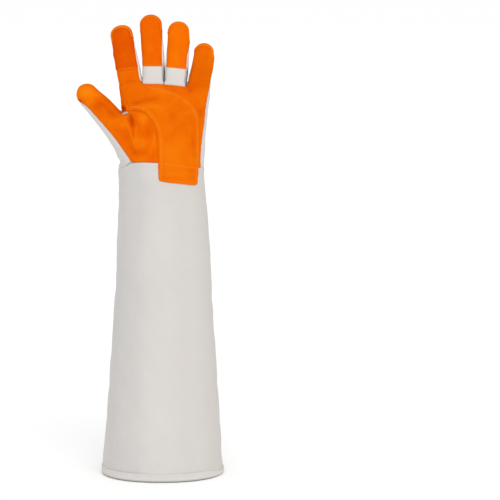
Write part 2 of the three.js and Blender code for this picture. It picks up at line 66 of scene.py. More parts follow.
# digits: axis x, y, z, half width, half depth
DIGITS = {
    "index": (13.46, [[-34.9, -1.5, 486, 13.4, 12.4], [-37.8, -2.0, 511, 14.6, 12.4], [-40.3, -2.6, 527, 15.0, 12.5],
                     [-43.8, -3.6, 545, 15.0, 12.4], [-46.5, -4.8, 560, 14.35, 12.0], [-48.5, -6.0, 572.0, 14.35, 11.3]]),
    "middle": (13.5, [[-8.2, -1.5, 488, 13.2, 12.6], [-8.5, -2.0, 514, 13.9, 12.6], [-8.6, -2.8, 536, 14.2, 12.5],
                      [-9.7, -3.9, 557, 14.2, 12.2], [-10.7, -5.4, 575, 14.1, 11.8], [-11.2, -6.4, 585.5, 14.2, 11.2]]),
    "ring": (13.2, [[17.4, -1.5, 486, 13.2, 12.4], [19.5, -2.0, 512, 13.9, 12.4], [21.2, -2.7, 532, 14.7, 12.4],
                    [22.8, -3.8, 551, 14.3, 12.1], [23.8, -5.0, 566, 14.1, 11.7], [23.9, -6.0, 577.3, 13.87, 11.1]]),
    "little": (11.5, [[45.4, -1.5, 476, 13.2, 11.8], [48.2, -2.0, 500, 14.1, 11.8], [50.5, -2.4, 515, 13.9, 11.7],
                      [53.7, -3.2, 530, 13.6, 11.4], [56.4, -4.4, 545, 13.5, 10.8], [56.5, -4.9, 551.3, 12.56, 10.5]]),
    "thumb": (13.6, [[-27.0, -2.0, 424.0, 25.4, 27.0], [-44.2, -3.5, 446.0, 22.9, 22.5], [-55.4, -5.0, 456.8, 19.3, 18.6],
                     [-63.9, -6.0, 464.3, 17.3, 16.2], [-72.4, -7.0, 474.1, 16.4, 14.4], [-81.6, -8.2, 484.6, 15.6, 13.2],
                     [-89.0, -9.2, 492.4, 14.64, 12.5], [-93.6, -10.0, 498.05, 13.8, 11.8]]),
}
SQUARE = {"index": 2.21, "middle": 2.0, "ring": 2.05, "little": 1.9, "thumb": 1.82}  # outline of the tips: 2 is round, more is squarer

# seam lines seen from the palm: x, z
LINE = {
    "wrist_front": [[-140, 402], [-56, 402], [-48, 405], [-37, 411.8], [-20, 412.2], [-2, 411.8], [22, 408.8], [50, 404], [58, 403.4], [140, 403.4]],
    "wrist_back": [[-140, 402], [-56, 402], [-48, 405], [-34, 407.6], [42, 407.6], [50, 404], [58, 403.4], [140, 403.4]],
    "gap_index_middle": [[-22.8, 480], [-22.8, 514], [-23.9, 527], [-25.7, 540], [-27.8, 555], [-31, 620]],
    "gap_middle_ring": [[5.0, 480], [5.0, 514], [5.5, 530], [6.2, 545], [6.8, 620]],
    "gap_ring_little": [[32.6, 470], [33.0, 505], [33.9, 515], [35.8, 531], [38.2, 541], [42, 560], [46, 620]],
    "root": [[-40, 511.0], [-22.8, 511.0], [-6, 511.2], [12.5, 510.1], [34.4, 507.4], [50, 505]],
    "thumb_arc": [[-49.5, 476.4], [-39.4, 476.8], [-33, 478.0], [-26, 477.9], [-20.3, 476.2], [-15, 472.4], [-9.6, 465.6],
                  [-5.8, 458], [-3.4, 449], [-2.2, 438.5], [-1.9, 426], [-1.8, 405]],
    "thumb_outer": [[-36, 405], [-36.8, 412.5], [-51.5, 433.0], [-60.8, 444.5], [-73.9, 460.6], [-81.2, 468.4], [-85.6, 473.4],
                    [-91.1, 479.6], [-96.2, 484.4], [-99.5, 486.3], [-102.5, 487.2], [-106, 488.0], [-112, 489.0]],
    "thumb_on_back": [[-52, 395], [-51.0, 408], [-50.0, 430], [-48.8, 455], [-47.6, 476.5], [-47.6, 480]],
    "little_outer": [[51.6, 375], [51.8, 420], [53.2, 434], [55.2, 448.5], [57.1, 463], [58.0, 477], [59.5, 491], [62.2, 505],
                     [65.4, 519], [68.4, 530], [80, 548], [110, 600]],
    "patch_top": [[-60, 508.5], [-49.5, 509], [-45, 513], [-38, 514.8], [-31, 514.8], [-24.2, 512.0], [-12.6, 508.8], [-1, 506.2],
                  [9, 503.4], [20.5, 499.8], [29.5, 495], [38, 488], [44.4, 480.5], [48.2, 472], [49.9, 462], [50.3, 441],
                  [49.8, 421], [48.4, 409], [48.0, 403]],
    "patch_tab": [[47.8, 390], [47.4, 384.2], [45.4, 382.2], [41, 382.4], [25.7, 384.9], [3.4, 387.7], [-0.6, 388.9], [-1.5, 392.0], [-1.5, 400]],
}
PAD_EDGE = {
    "index": [[-90, 522.4], [-56, 527.6], [-26, 531.2], [0, 533.8]],
    "middle": [[-40, 533.5], [20, 533.5]],
    "ring": [[-10, 532.9], [8, 532.3], [42, 528.9], [60, 527.3]],
}
CAP_EDGE = {
    "index": [[-90, 543], [-60.5, 545], [-56.5, 557], [-51.5, 566], [-45.5, 570.5], [-36.5, 569], [-26, 566]],
    "middle": [[-40, 573.4], [-24, 574.5], [-18.5, 581.5], [-11, 584.4], [-3.5, 582], [2, 576], [10, 572]],
    "ring": [[-10, 569], [0, 571], [10, 573.2], [15, 576.4], [22.5, 576], [29, 571.5], [35, 563], [45, 556]],
    "little": [[30, 549.5], [46, 551], [52, 550.6], [58.5, 546], [64, 537], [67, 529.5], [72, 520], [90, 512]],
}
THUMB_SIDE = [[-140, -12], [-108, -7], [-64, 0], [-53, -3], [-45, -10], [60, -10]]  # x, y of the seam round the thumb
# seams along the fingers' sides. Front one: z and how far in from the outline it shows, mm; back one: z, y.
# Outer sides have one seam only: z, y
INSETS = {
    ("index", 1): [[505, 2.1], [528, 2.2], [541, 1.7], [553, 0.9], [562, 0.3], [567, 0.1]],
    ("middle", 0): [[505, 0.8], [531, 0.9], [536, 0.9], [545, 0.4], [560, 0.2], [570, 0.15], [574, 0.1]],
    ("middle", 1): [[505, 1.2], [522, 1.6], [531, 2.4], [536, 2.7], [545, 2.3], [553, 1.7], [560, 1.2], [568, 0.5], [575, 0.1]],
    ("ring", 0): [[505, 0.8], [522, 1.2], [530, 1.7], [536, 1.9], [541, 1.5], [548, 0.8], [553, 0.4], [565, 0.15], [572, 0.1]],
    ("ring", 1): [[505, 1.0], [522, 1.8], [530, 2.3], [534, 2.5], [541, 2.1], [548, 1.6], [555, 0.6], [561, 0.1]],
    ("little", 0): [[500, 0.8], [512, 0.6], [522, 0.4], [532, 0.25], [542, 0.1], [550, 0.1]],
}
BACKS = {
    ("index", 1): [[505, 6.5], [525, 6], [548, 3.2], [559, -1], [566, -6], [569, -9.5]],
    ("middle", 0): [[505, 6.5], [525, 6], [554, 3.2], [566, -1], [573, -6], [576, -10]],
    ("middle", 1): [[505, 6.5], [525, 6], [554, 3.2], [567, -1], [574, -6], [577, -10]],
    ("ring", 0): [[505, 6.5], [525, 6], [552, 3.2], [564, -1], [571, -6], [574, -10]],
    ("ring", 1): [[505, 6.5], [525, 6], [543, 3], [553, -1], [560, -5.5], [563, -9.5]],
    ("little", 0): [[500, 6], [515, 5.5], [530, 3], [541, -1], [549, -5.5], [552, -8.5]],
}
OUTER = {
    ("index", 0): [[470, -2], [476, 1.0], [484, 2.0], [495, 1.0], [503, -0.8], [515, -1.8], [540, -3.0], [551, -4.2], [558, -8], [566, -13.4]],
    ("little", 1): [[470, 0], [500, 0], [520, -1], [531, -3.4], [538, -7.5], [546, -11.8]],
}
TIP_PLANE = {"index": -13.4, "middle": -13.7, "ring": -13.3, "little": -11.8}
# light leather tucked into the crotch of the thumb
TUCK = [[-49.2, 475.2], [-46, 475.8], [-42.4, 476.2], [-41.4, 475.2], [-43, 473.2], [-46, 472.6], [-48.6, 473.4]]
FINGERS = ["index", "middle", "ring", "little"]

# soft folds, as centre line points [x, z]: side (-1 palm, 1 back), height (negative is a valley), half width
FOLDS = [
    (-1, [[-44.5, 470], [-43.6, 466], [-40.6, 457], [-36.6, 446], [-33.4, 437], [-32.2, 433]], 1.7, 2.0),
    (-1, [[-30.5, 458], [-30.6, 450], [-32.0, 441], [-33.0, 434]], 1.4, 1.9),
    (-1, [[-37.2, 455.7], [-36.1, 449.4], [-35.0, 443.1]], 0.6, 1.3),
    (-1, [[-40.0, 472], [-37.3, 465.6], [-34.2, 460]], -1.3, 3.4),
    (-1, [[-36.4, 459], [-34.8, 450.5], [-33.6, 443]], -0.9, 1.2),
    (-1, [[-46.2, 452], [-42.6, 440.5], [-38.4, 431.7], [-33.6, 424.2]], -0.9, 3.4),
    (-1, [[-31, 424.4], [-16.5, 423]], -0.6, 3.8),
    (-1, [[-15.2, 462.5], [-14.2, 453.6], [-14.6, 445.7]], -0.6, 4.6),
    (-1, [[-14.6, 474.0], [-8.9, 466.2], [-6.6, 453.6]], 0.7, 2.2),
    (-1, [[-6.8, 448.0], [-7.4, 441.0], [-9.6, 432.1], [-13.2, 423.6]], 1.1, 2.9),
    (-1, [[-36.7, 483.6], [-28.9, 487.3], [-17.3, 490.8], [-5, 492.6]], -0.7, 4.6),
    (-1, [[-21.5, 483.2], [-10.9, 485.8], [-1.9, 483.4], [9.8, 471]], 0.8, 2.8),
    (-1, [[-40.1, 489.5], [-36.7, 482.0]], 0.8, 1.7),
    (-1, [[-47.2, 481.4], [-44.9, 477.6]], -1.2, 2.0),
    (-1, [[-42.5, 512.6], [-32.5, 512.6]], -0.9, 2.2),
    (-1, [[-49.4, 505.6], [-44.6, 510.6]], 0.6, 1.8),
    (-1, [[42.2, 448], [42.0, 418]], -0.35, 3.6),
    (-1, [[37.6, 507.5], [38.2, 503]], -0.5, 2.8),
    (-1, [[46.1, 501.5], [47.5, 497]], 0.6, 3.0),
    (-1, [[53.4, 484.2], [52.8, 480.8]], 0.9, 1.7),
    (-1, [[51.6, 476], [51.2, 470]], -0.9, 2.0),
    (-1, [[-53.5, 403.6], [-46.3, 407.4], [-38.6, 411.2]], -1.1, 1.6),
    (-1, [[30, 470], [33, 440], [34, 415]], 0.6, 7.0),
    (-1, [[12, 470], [10, 445]], -1.0, 11.0),
    (-1, [[-70, 478], [-60, 464]], 0.6, 5.0),
    (-1, [[-80, 491], [-70, 484], [-62, 474]], -0.6, 3.0),
    (-1, [[3.5, 396.5], [22, 394.5], [44, 392]], -0.4, 3.0),
    (1, [[-48.1, 512.2], [-32.5, 480], [-25, 467]], -1.4, 4.2),
    (1, [[-40, 515], [-27, 489]], 0.7, 4.5),
    (1, [[-50, 431.6], [-44, 420], [-37.5, 409]], -1.3, 3.6),
    (1, [[-34.5, 449], [-33, 431]], 1.3, 6.5),
    (1, [[25, 503.8], [36, 488], [48.8, 467]], -1.1, 4.0),
    (1, [[33, 505], [45, 488]], 0.7, 4.0),
    (1, [[-6, 490], [-6, 450]], -1.0, 13.0),
    (1, [[48.8, 405], [47, 392]], -0.9, 4.0),
    (1, [[-84, 482], [-66, 462]], 0.7, 5.0),
    (1, [[-62, 452], [-52, 438]], -1.1, 4.5),
]
# lighter and darker places of the leather, partly its uneven colour, partly painted shade and painted highlight (the
# shaded notch and hollows by the thumb, the lit tuck): side, x, z, half width, half height, lighter (+) or darker (-)
TONES = [
    (-1, -95, 502, 14, 11, 0.95), (-1, -77, 498, 9, 5, 0.5), (-1, -102.5, 489.3, 3.6, 3.0, -1.6), (-1, -80, 484, 13, 8, -0.5),
    (-1, -60, 473, 15, 9, -0.5), (-1, -20, 462, 7, 12, 0.35), (-1, -23, 428, 14, 8, -0.35), (-1, 24, 468, 16, 18, -0.22), (-1, -12, 496, 14, 8, -0.15),
    (-1, -29, 487.5, 10, 4, -0.35), (-1, -12, 491, 11, 4.5, -0.25), (-1, -18, 482, 14, 3, 0.3), (-1, -22, 469, 13, 7, 0.5),
    (-1, -43.5, 474.6, 4, 2, 0.9), (-1, 20, 397.5, 24, 3, 0.35), (-1, 12, 388.5, 16, 3.5, -0.35), (-1, 14, 430, 18, 22, 0.55), (-1, 13, 452, 9, 10, 0.25), (-1, 16, 426, 14, 12, 0.3), (-1, 41.5, 436, 6, 22, -0.42), (-1, -9, 483, 11, 4, 0.3),
    (-1, -47.2, 479.3, 3.2, 4, -1.0), (-1, 38, 505, 5, 7, -0.15), (-1, 57, 522, 22, 34, -0.5), (-1, 22, 394, 34, 8, 0.45), (-1, -40, 521, 12, 7, 0.15),
    (-1, -36.4, 465.5, 4.4, 7.2, -0.75), (-1, -15.5, 452, 4, 12, -0.3), (1, -95, 500, 12, 10, 0.3), (1, 0, 455, 22, 26, -0.15),
]
# wide soft dents on the sleeve: x, z, side, half width, half height, depth
DENTS = [
    (-34, 60, -1, 16, 70, 2.2), (38, 95, -1, 15, 80, 1.8), (-20, 225, -1, 14, 70, 1.8), (26, 290, -1, 14, 60, 1.6),
    (-24, 372, -1, 22, 14, 2.0), (10, 455, -1, 20, 26, 1.2), (30, 70, 1, 18, 75, 2.2), (-22, 180, 1, 16, 80, 1.8),
    (18, 310, 1, 16, 60, 1.8), (4, 392, 1, 40, 10, 1.6), (-6, 468, 1, 14, 30, 1.0),
]


# ------------------------------------------------------------------ small tools
def pchip(xs, ys):
    """A smooth function through the points that never overshoots them; constant past its ends."""
    xs, ys = np.asarray(xs, float), np.asarray(ys, float)
    h, d = np.diff(xs), np.diff(ys) / np.diff(xs)
    m = np.zeros_like(ys)
    if len(xs) > 2:
        same = d[:-1] * d[1:] > 0
        w1, w2 = 2 * h[1:] + h[:-1], h[1:] + 2 * h[:-1]
        with np.errstate(divide="ignore", invalid="ignore"):
            m[1:-1] = np.where(same, (w1 + w2) / (w1 / d[:-1] + w2 / d[1:]), 0.0)
    m[0], m[-1] = d[0], d[-1]

    def at(x):
        x = np.clip(x, xs[0], xs[-1])
        i = np.clip(np.searchsorted(xs, x, side="right") - 1, 0, len(xs) - 2)
        t = (x - xs[i]) / h[i]
        t2, t3 = t * t, t * t * t
        return (2 * t3 - 3 * t2 + 1) * ys[i] + (t3 - 2 * t2 + t) * h[i] * m[i] + (3 * t2 - 2 * t3) * ys[i + 1] + (t3 - t2) * h[i] * m[i + 1]

    return at


def by_x(line):
    a = np.array(line, float)
    return pchip(a[:, 0], a[:, 1])


def by_z(line):
    a = np.array(line, float)
    return pchip(a[:, 1], a[:, 0])


def smooth01(t):
    t = np.clip(t, 0, 1)
    return t * t * (3 - 2 * t)


def smin(a, b, k):
    h = np.maximum(k - np.abs(a - b), 0) / k
    return np.minimum(a, b) - h * h * k * 0.25


def rounded(points, cuts=3):
    """A polyline with its corners cut (Chaikin), ends kept."""
    p = np.array(points, float)
    for _ in range(cuts):
        a, b = p[:-1], p[1:]
        q = np.empty((2 * len(a), 2))
        q[0::2], q[1::2] = 0.75 * a + 0.25 * b, 0.25 * a + 0.75 * b
        p = np.vstack([p[:1], q[1:-1], p[-1:]])
    return p


def polygon_distance(x, z, poly):
    """Signed distance to a closed polygon, negative inside."""
    poly = np.asarray(poly, float)
    best = np.full(x.shape, 1e9)
    inside = np.zeros(x.shape, bool)
    nxt = np.roll(poly, -1, axis=0)
    for (ax, az), (bx, bz) in zip(poly, nxt):
        ex, ez = bx - ax, bz - az
        t = np.clip(((x - ax) * ex + (z - az) * ez) / max(ex * ex + ez * ez, 1e-9), 0, 1)
        best = np.minimum(best, (x - ax - t * ex) ** 2 + (z - az - t * ez) ** 2)
        if az != bz:
            cross = ((az > z) != (bz > z)) & (x < ax + (z - az) * ex / ez)
            inside ^= cross
    d = np.sqrt(best)
    return np.where(inside, -d, d)


def line_distance(x, z, line):
    """Distance to an open polyline."""
    best = np.full(x.shape, 1e9)
    for (ax, az), (bx, bz) in zip(line[:-1], line[1:]):
        ex, ez = bx - ax, bz - az
        t = np.clip(((x - ax) * ex + (z - az) * ez) / max(ex * ex + ez * ez, 1e-9), 0, 1)
        best = np.minimum(best, (x - ax - t * ex) ** 2 + (z - az - t * ez) ** 2)
    return np.sqrt(best)


def waves(seed, count, short, long):
    """Smooth seeded noise of about unit strength with wavelengths from short to long, mm."""
    rng = np.random.default_rng(seed)
    d = rng.normal(size=(count, 3))
    d /= np.linalg.norm(d, axis=1)[:, None]
    k = d * (2 * math.pi / rng.uniform(short, long, count))[:, None]
    ph = rng.uniform(0, 2 * math.pi, count)
    return lambda p: np.sin(p @ k.T + ph).sum(1) * math.sqrt(2.0 / count)


# ------------------------------------------------------------------ the glove's outer form as a field (mm, negative inside)
edge_l, edge_r = pchip(EDGES[:, 0], EDGES[:, 1]), pchip(EDGES[:, 0], EDGES[:, 2])
deep_f, deep_b, round_e = (pchip(DEPTHS[:, 0], DEPTHS[:, k]) for k in (1, 2, 3))


def palm_field(x, y, z):
    zz = z + 0.1 * smooth01((z - 484) / 27) * (x + 23)
    zc = np.minimum(zz, DOME_Z)
    xl, xr, e = edge_l(zc), edge_r(zc), round_e(zc)
    a, b = (xr - xl) / 2, np.where(y < 0, deep_f(zc), deep_b(zc))
    u, v = np.abs(x - (xl + xr) / 2) / a, np.abs(y) / b
    t = np.maximum(0, zz - DOME_Z) / DOME_H
    w = np.sqrt(v * v + t * t) + 1e-9
    r = np.maximum((u**e + w**e) ** (1 / e), 0.05)
    gu, gw = (u / r) ** (e - 1) / a, (w / r) ** (e - 1)
    g = np.sqrt(gu * gu + (gw * v / w / b) ** 2 + (gw * t / w / DOME_H) ** 2)
    return (r - 1) / np.maximum(g, 0.012)


class Digit:
    def __init__(self, name):
        self.dome, rows = DIGITS[name]
        self.q = SQUARE[name]
        rows = np.array(rows, float)
        p = rows[:, :3]
        self.p0 = p[0]
        self.d = (p[-1] - p[0]) / np.linalg.norm(p[-1] - p[0])
        self.a = np.array([self.d[2], 0, -self.d[0]]) / math.hypot(self.d[0], self.d[2])
        self.n = np.cross(self.d, self.a)
        s = (p - p[0]) @ self.d
        self.end = s[-1]
        self.ca, self.cn = pchip(s, (p - p[0]) @ self.a), pchip(s, (p - p[0]) @ self.n)
        self.hw, self.hd = pchip(s, rows[:, 3]), pchip(s, rows[:, 4])
        square = 2.5 if name == "thumb" else 3.7  # squarer at the root than at the tip
        self.e = pchip([0, 0.42 * s[-1], s[-1]], [square, 0.6 * square + 0.4 * 2.6, 2.6 if square > 3 else 2.5])
        self.x_at = pchip(p[:, 2], p[:, 0])
        self.root = 22.0 if name == "thumb" else 14.0
        lo = p.min(0) - rows[:, 3:].max() - 14
        hi = p.max(0) + rows[:, 3:].max() + 14
        self.box = lo, hi

    def local(self, x, y, z):
        px, py, pz = x - self.p0[0], y - self.p0[1], z - self.p0[2]
        s = px * self.d[0] + py * self.d[1] + pz * self.d[2]
        sc = np.clip(s, 0, self.end)
        u = px * self.a[0] + pz * self.a[2] - self.ca(sc)
        v = px * self.n[0] + py * self.n[1] + pz * self.n[2] - self.cn(sc)
        return s, sc, u, v

    def field(self, x, y, z):
        s, sc, u, v = self.local(x, y, z)
        hw, hd, e = self.hw(sc), self.hd(sc), self.e(sc)
        u, v = np.abs(u) / hw, np.abs(v) / hd
        t = np.where(s > self.end, (s - self.end) / self.dome, np.maximum(0, -s) / self.root)
        scale = np.where(s > self.end, self.dome, self.root)
        r = np.maximum((u**e + v**e) ** (1 / e), 0.03)
        g2 = ((u / r) ** (e - 1) / hw) ** 2 + ((v / r) ** (e - 1) / hd) ** 2
        q = self.q
        rr = (r**q + t**q) ** (1 / q)
        g = np.sqrt((r / rr) ** (2 * q - 2) * g2 + ((t / rr) ** (q - 1) / scale) ** 2)
        return (rr - 1) / np.maximum(g, 0.03)

    def front_at(self, z, inset):
        """y of the front surface that far in from the outline."""
        s = (z - self.p0[2]) / self.d[2]
        hw, hd, e = self.hw(s), self.hd(s), self.e(s)
        v = (1 - (1 - inset / hw) ** e) ** (1 / e)
        return self.p0[1] + s * self.d[1] + (self.cn(s) - v * hd) * self.n[1]


digit = {name: Digit(name) for name in DIGITS}
gaps = [by_z(LINE[k]) for k in ("gap_index_middle", "gap_middle_ring", "gap_ring_little")]
GAP_FLOOR = [513.0, 512.4, 509.8]
GAP_RISE = [4.0, 4.0, 0.8]  # how much higher they end on the back
SLIT = 0.62


def join(base, f, name, y, z):
    """A digit's skin runs into the palm's: tightly in the crotch of the thumb, softly over the knuckles."""
    if name == "thumb":
        return smin(base, f, 9.0 - 6.2 * smooth01((z - 460) / 12))
    return smin(base, f, 5.0 + 8.0 * smooth01((y - 3) / 10))


def side_by_side(f, other, y, z):
    """Two fingers' roots: a plain crease on the palm side, leather stretched from one to the next on the back."""
    return smin(f, other, 0.05 + 12.0 * smooth01((y - 2) / 8) * smooth01((525 - z) / 11))


def slit_x(gap, y, z):
    """Low down the slit between two fingers bends round the gusset between them."""
    return gap(z) + 1.3 * np.exp(-((y / 5.5) ** 2)) * smooth01((545 - z) / 10)


def cut_slits(f, x, y, z):
    for gap, floor, rise in zip(gaps, GAP_FLOOR, GAP_RISE):
        d = np.hypot(x - slit_x(gap, y, z), np.maximum(0, floor + rise * smooth01(y / 8) - z))
        f = np.maximum(f, SLIT - d)
    return f


def form(p):
    x, y, z = p[:, 0], p[:, 1], p[:, 2]
    f = join(palm_field(x, y, z), digit["thumb"].field(x, y, z), "thumb", y, z)
    fingers = np.full(len(p), 1e3)
    for name in FINGERS:
        lo, hi = digit[name].box
        near = (z > 455) & (x > lo[0]) & (x < hi[0])
        if near.any():
            fingers[near] = side_by_side(fingers[near], digit[name].field(x[near], y[near], z[near]), y[near], z[near])
    out = join(f, fingers, "fingers", y, z)
    high = z > 500
    if high.any():
        out = out.copy()
        out[high] = cut_slits(out[high], x[high], y[high], z[high])
    return out


TET = np.array([[1, 1, 1], [1, -1, -1], [-1, 1, -1], [-1, -1, 1]], float)


def slope(p, h=0.15):
    g = np.zeros_like(p)
    for t in TET:
        g += t * form(p + t * h)[:, None]
    return g / (4 * h)


def onto_form(p, rounds=2):
    for _ in range(rounds):
        g = slope(p)
        f = form(p)
        step = f / np.maximum((g * g).sum(1), 0.05)
        p = p - g * np.clip(step, -1.0, 1.0)[:, None]
    return p


def surface_nets(f, origin, h):
    inside = f < 0
    c = np.zeros(tuple(n - 1 for n in f.shape), np.uint8)
    corners = [(i, j, k) for i in (0, 1) for j in (0, 1) for k in (0, 1)]
    view = lambda a, o: a[o[0]:a.shape[0] - 1 + o[0], o[1]:a.shape[1] - 1 + o[1], o[2]:a.shape[2] - 1 + o[2]]
    for o in corners:
        c += view(inside, o)
    act = (c > 0) & (c < 8)
    cells = np.argwhere(act)
    index = np.full(act.shape, -1, np.int64)
    index[act] = np.arange(len(cells))
    val = {o: view(f, o)[act] for o in corners}
    pos, cnt = np.zeros((len(cells), 3)), np.zeros(len(cells))
    for a in corners:
        for axis in range(3):
            if a[axis]:
                continue
            b = tuple(1 if k == axis else a[k] for k in range(3))
            fa, fb = val[a], val[b]
            cross = (fa < 0) != (fb < 0)
            t = np.where(cross, fa / np.where(cross, fa - fb, 1), 0)
            q = np.array(a, float)[None, :] + t[:, None] * (np.array(b, float) - np.array(a, float))[None, :]
            pos += q * cross[:, None]
            cnt += cross
    verts = (cells + pos / cnt[:, None]) * h + origin
    quads = []
    for axis in range(3):
        o1, o2 = [(1, 2), (2, 0), (0, 1)][axis]
        lo = [slice(1, -1)] * 3
        lo[axis] = slice(0, -1)
        hi = list(lo)
        hi[axis] = slice(1, None)
        a, b = inside[tuple(lo)], inside[tuple(hi)]
        at = np.argwhere(a != b)
        if not len(at):
            continue
        out = a[tuple(at.T)]
        base = at.copy()
        for k in range(3):
            if k != axis:
                base[:, k] += 1
        e1, e2 = np.eye(3, dtype=int)[o1], np.eye(3, dtype=int)[o2]
        ring = [index[tuple((base - e1 - e2).T)], index[tuple((base - e2).T)], index[tuple(base.T)], index[tuple((base - e1).T)]]
        q = np.stack(ring, 1)
        q[~out] = q[~out][:, ::-1]
        quads.append(q)
    return verts, np.vstack(quads)


def hand_surface():
    lo, hi = np.array([-113.0, -42.0, 374.0]), np.array([74.0, 41.0, 604.0])
    n = np.ceil((hi - lo) / CELL).astype(int) + 1
    xs, ys, zs = (lo[k] + np.arange(n[k]) * CELL for k in range(3))
    block = lambda blo, bhi: tuple(slice(max(0, int((blo[k] - lo[k]) / CELL)), min(n[k], int((bhi[k] - lo[k]) / CELL) + 2)) for k in range(3))

    def grid(b):
        return np.meshgrid(xs[b[0]], ys[b[1]], zs[b[2]], indexing="ij")

    f = np.empty(tuple(n), np.float32)
    step = 40
    for i in range(0, n[0], step):
        b = (slice(i, min(i + step, n[0])), slice(0, n[1]), slice(0, n[2]))
        f[b] = palm_field(*grid(b))
    b = block(*digit["thumb"].box)
    g = grid(b)
    f[b] = join(f[b], digit["thumb"].field(*g), "thumb", g[1], g[2])
    fingers = np.full(f.shape, 1e3, np.float32)
    for name in FINGERS:
        b = block(*digit[name].box)
        g = grid(b)
        fingers[b] = side_by_side(fingers[b], digit[name].field(*g), g[1], g[2])
    b = (slice(0, n[0]), slice(0, n[1]), slice(int((440 - lo[2]) / CELL), n[2]))
    g = grid(b)
    f[b] = join(f[b], fingers[b], "fingers", g[1], g[2])
    b = (slice(0, n[0]), slice(0, n[1]), slice(int((500 - lo[2]) / CELL), n[2]))
    f[b] = cut_slits(f[b], *grid(b))
    v, q = surface_nets(f, lo, CELL)
    v = onto_form(v, 1)
    pairs = np.vstack([q[:, [0, 1]], q[:, [1, 2]], q[:, [2, 3]], q[:, [3, 0]]])
    for _ in range(4):
        total, count = np.zeros_like(v), np.zeros(len(v))
        for a, b in ((0, 1), (1, 0)):
            for k in range(3):
                total[:, k] += np.bincount(pairs[:, a], v[pairs[:, b], k], len(v))
            count += np.bincount(pairs[:, a], minlength=len(v))
        g = slope(v)
        g /= np.linalg.norm(g, axis=1)[:, None]
        move = total / np.maximum(count, 1)[:, None] - v
        move -= g * (move * g).sum(1)[:, None]
        edge = (v[:, 2] < lo[2] + 2 * CELL)
        move[edge] = 0
        v = v + 0.6 * move
        fv = form(v)
        v = v - g * np.clip(fv, -1, 1)[:, None]
    v = onto_form(v, 1)
    # each quad split along its shorter diagonal
    d1 = np.linalg.norm(v[q[:, 0]] - v[q[:, 2]], axis=1)
    d2 = np.linalg.norm(v[q[:, 1]] - v[q[:, 3]], axis=1)
    s = d1 <= d2
    t = np.vstack([q[s][:, [0, 1, 2]], q[s][:, [0, 2, 3]], q[~s][:, [0, 1, 3]], q[~s][:, [1, 2, 3]]])
    return v, t


# ------------------------------------------------------------------ panels: which leather a point of the surface belongs to
PANELS = ["cuff", "hand_back", "thumb_back", "finger_root_band", "fourchette_index_middle", "fourchette_middle_ring",
          "fourchette_ring_little", "thumb_front", "palm_base", "index_pad", "middle_pad", "ring_pad", "index_cap", "middle_cap",
          "ring_cap", "little_cap"]
CODE = {name: i for i, name in enumerate(PANELS)}
wrist_front, wrist_back = by_x(LINE["wrist_front"]), by_x(LINE["wrist_back"])
root_line, little_outer, thumb_outer = by_x(LINE["root"]), by_z(LINE["little_outer"]), by_z(LINE["thumb_outer"])
thumb_side = by_x(THUMB_SIDE)
thumb_on_back = by_z(LINE["thumb_on_back"])
arc = rounded(LINE["thumb_arc"])
THUMB_FRONT = np.vstack([arc, [[-1.2, 380], [-36, 380]], rounded(LINE["thumb_outer"])[1:], [[-118, 512], [-118, 530], [-80, 530]]])
THUMB_BACK = np.array([[-140, 380], [-52, 380]] + LINE["thumb_on_back"][1:-1] + [[-49.4, 478], [-80, 530], [-140, 530]], float)
PATCH = np.vstack([rounded(LINE["patch_top"])[:-1], rounded(LINE["patch_tab"]), arc[::-1]])
pad_edge = {k: by_x(v) for k, v in PAD_EDGE.items()}
cap_edge = {k: by_x(v) for k, v in CAP_EDGE.items()}
side_f = {k: by_x(v) for k, v in OUTER.items()}
side_b = dict(side_f)
for k, rows in INSETS.items():
    zz = np.linspace(rows[0][0], rows[-1][0], 60)
    side_f[k] = pchip(zz, digit[k[0]].front_at(zz, by_x(rows)(zz)))
    side_f[k] = pchip(np.append(zz, zz[-1] + 5), np.append(side_f[k](zz), TIP_PLANE[k[0]]))
    back = BACKS[k]
    side_b[k] = by_x(back + [[zz[-1] + 5, TIP_PLANE[k[0]]]])


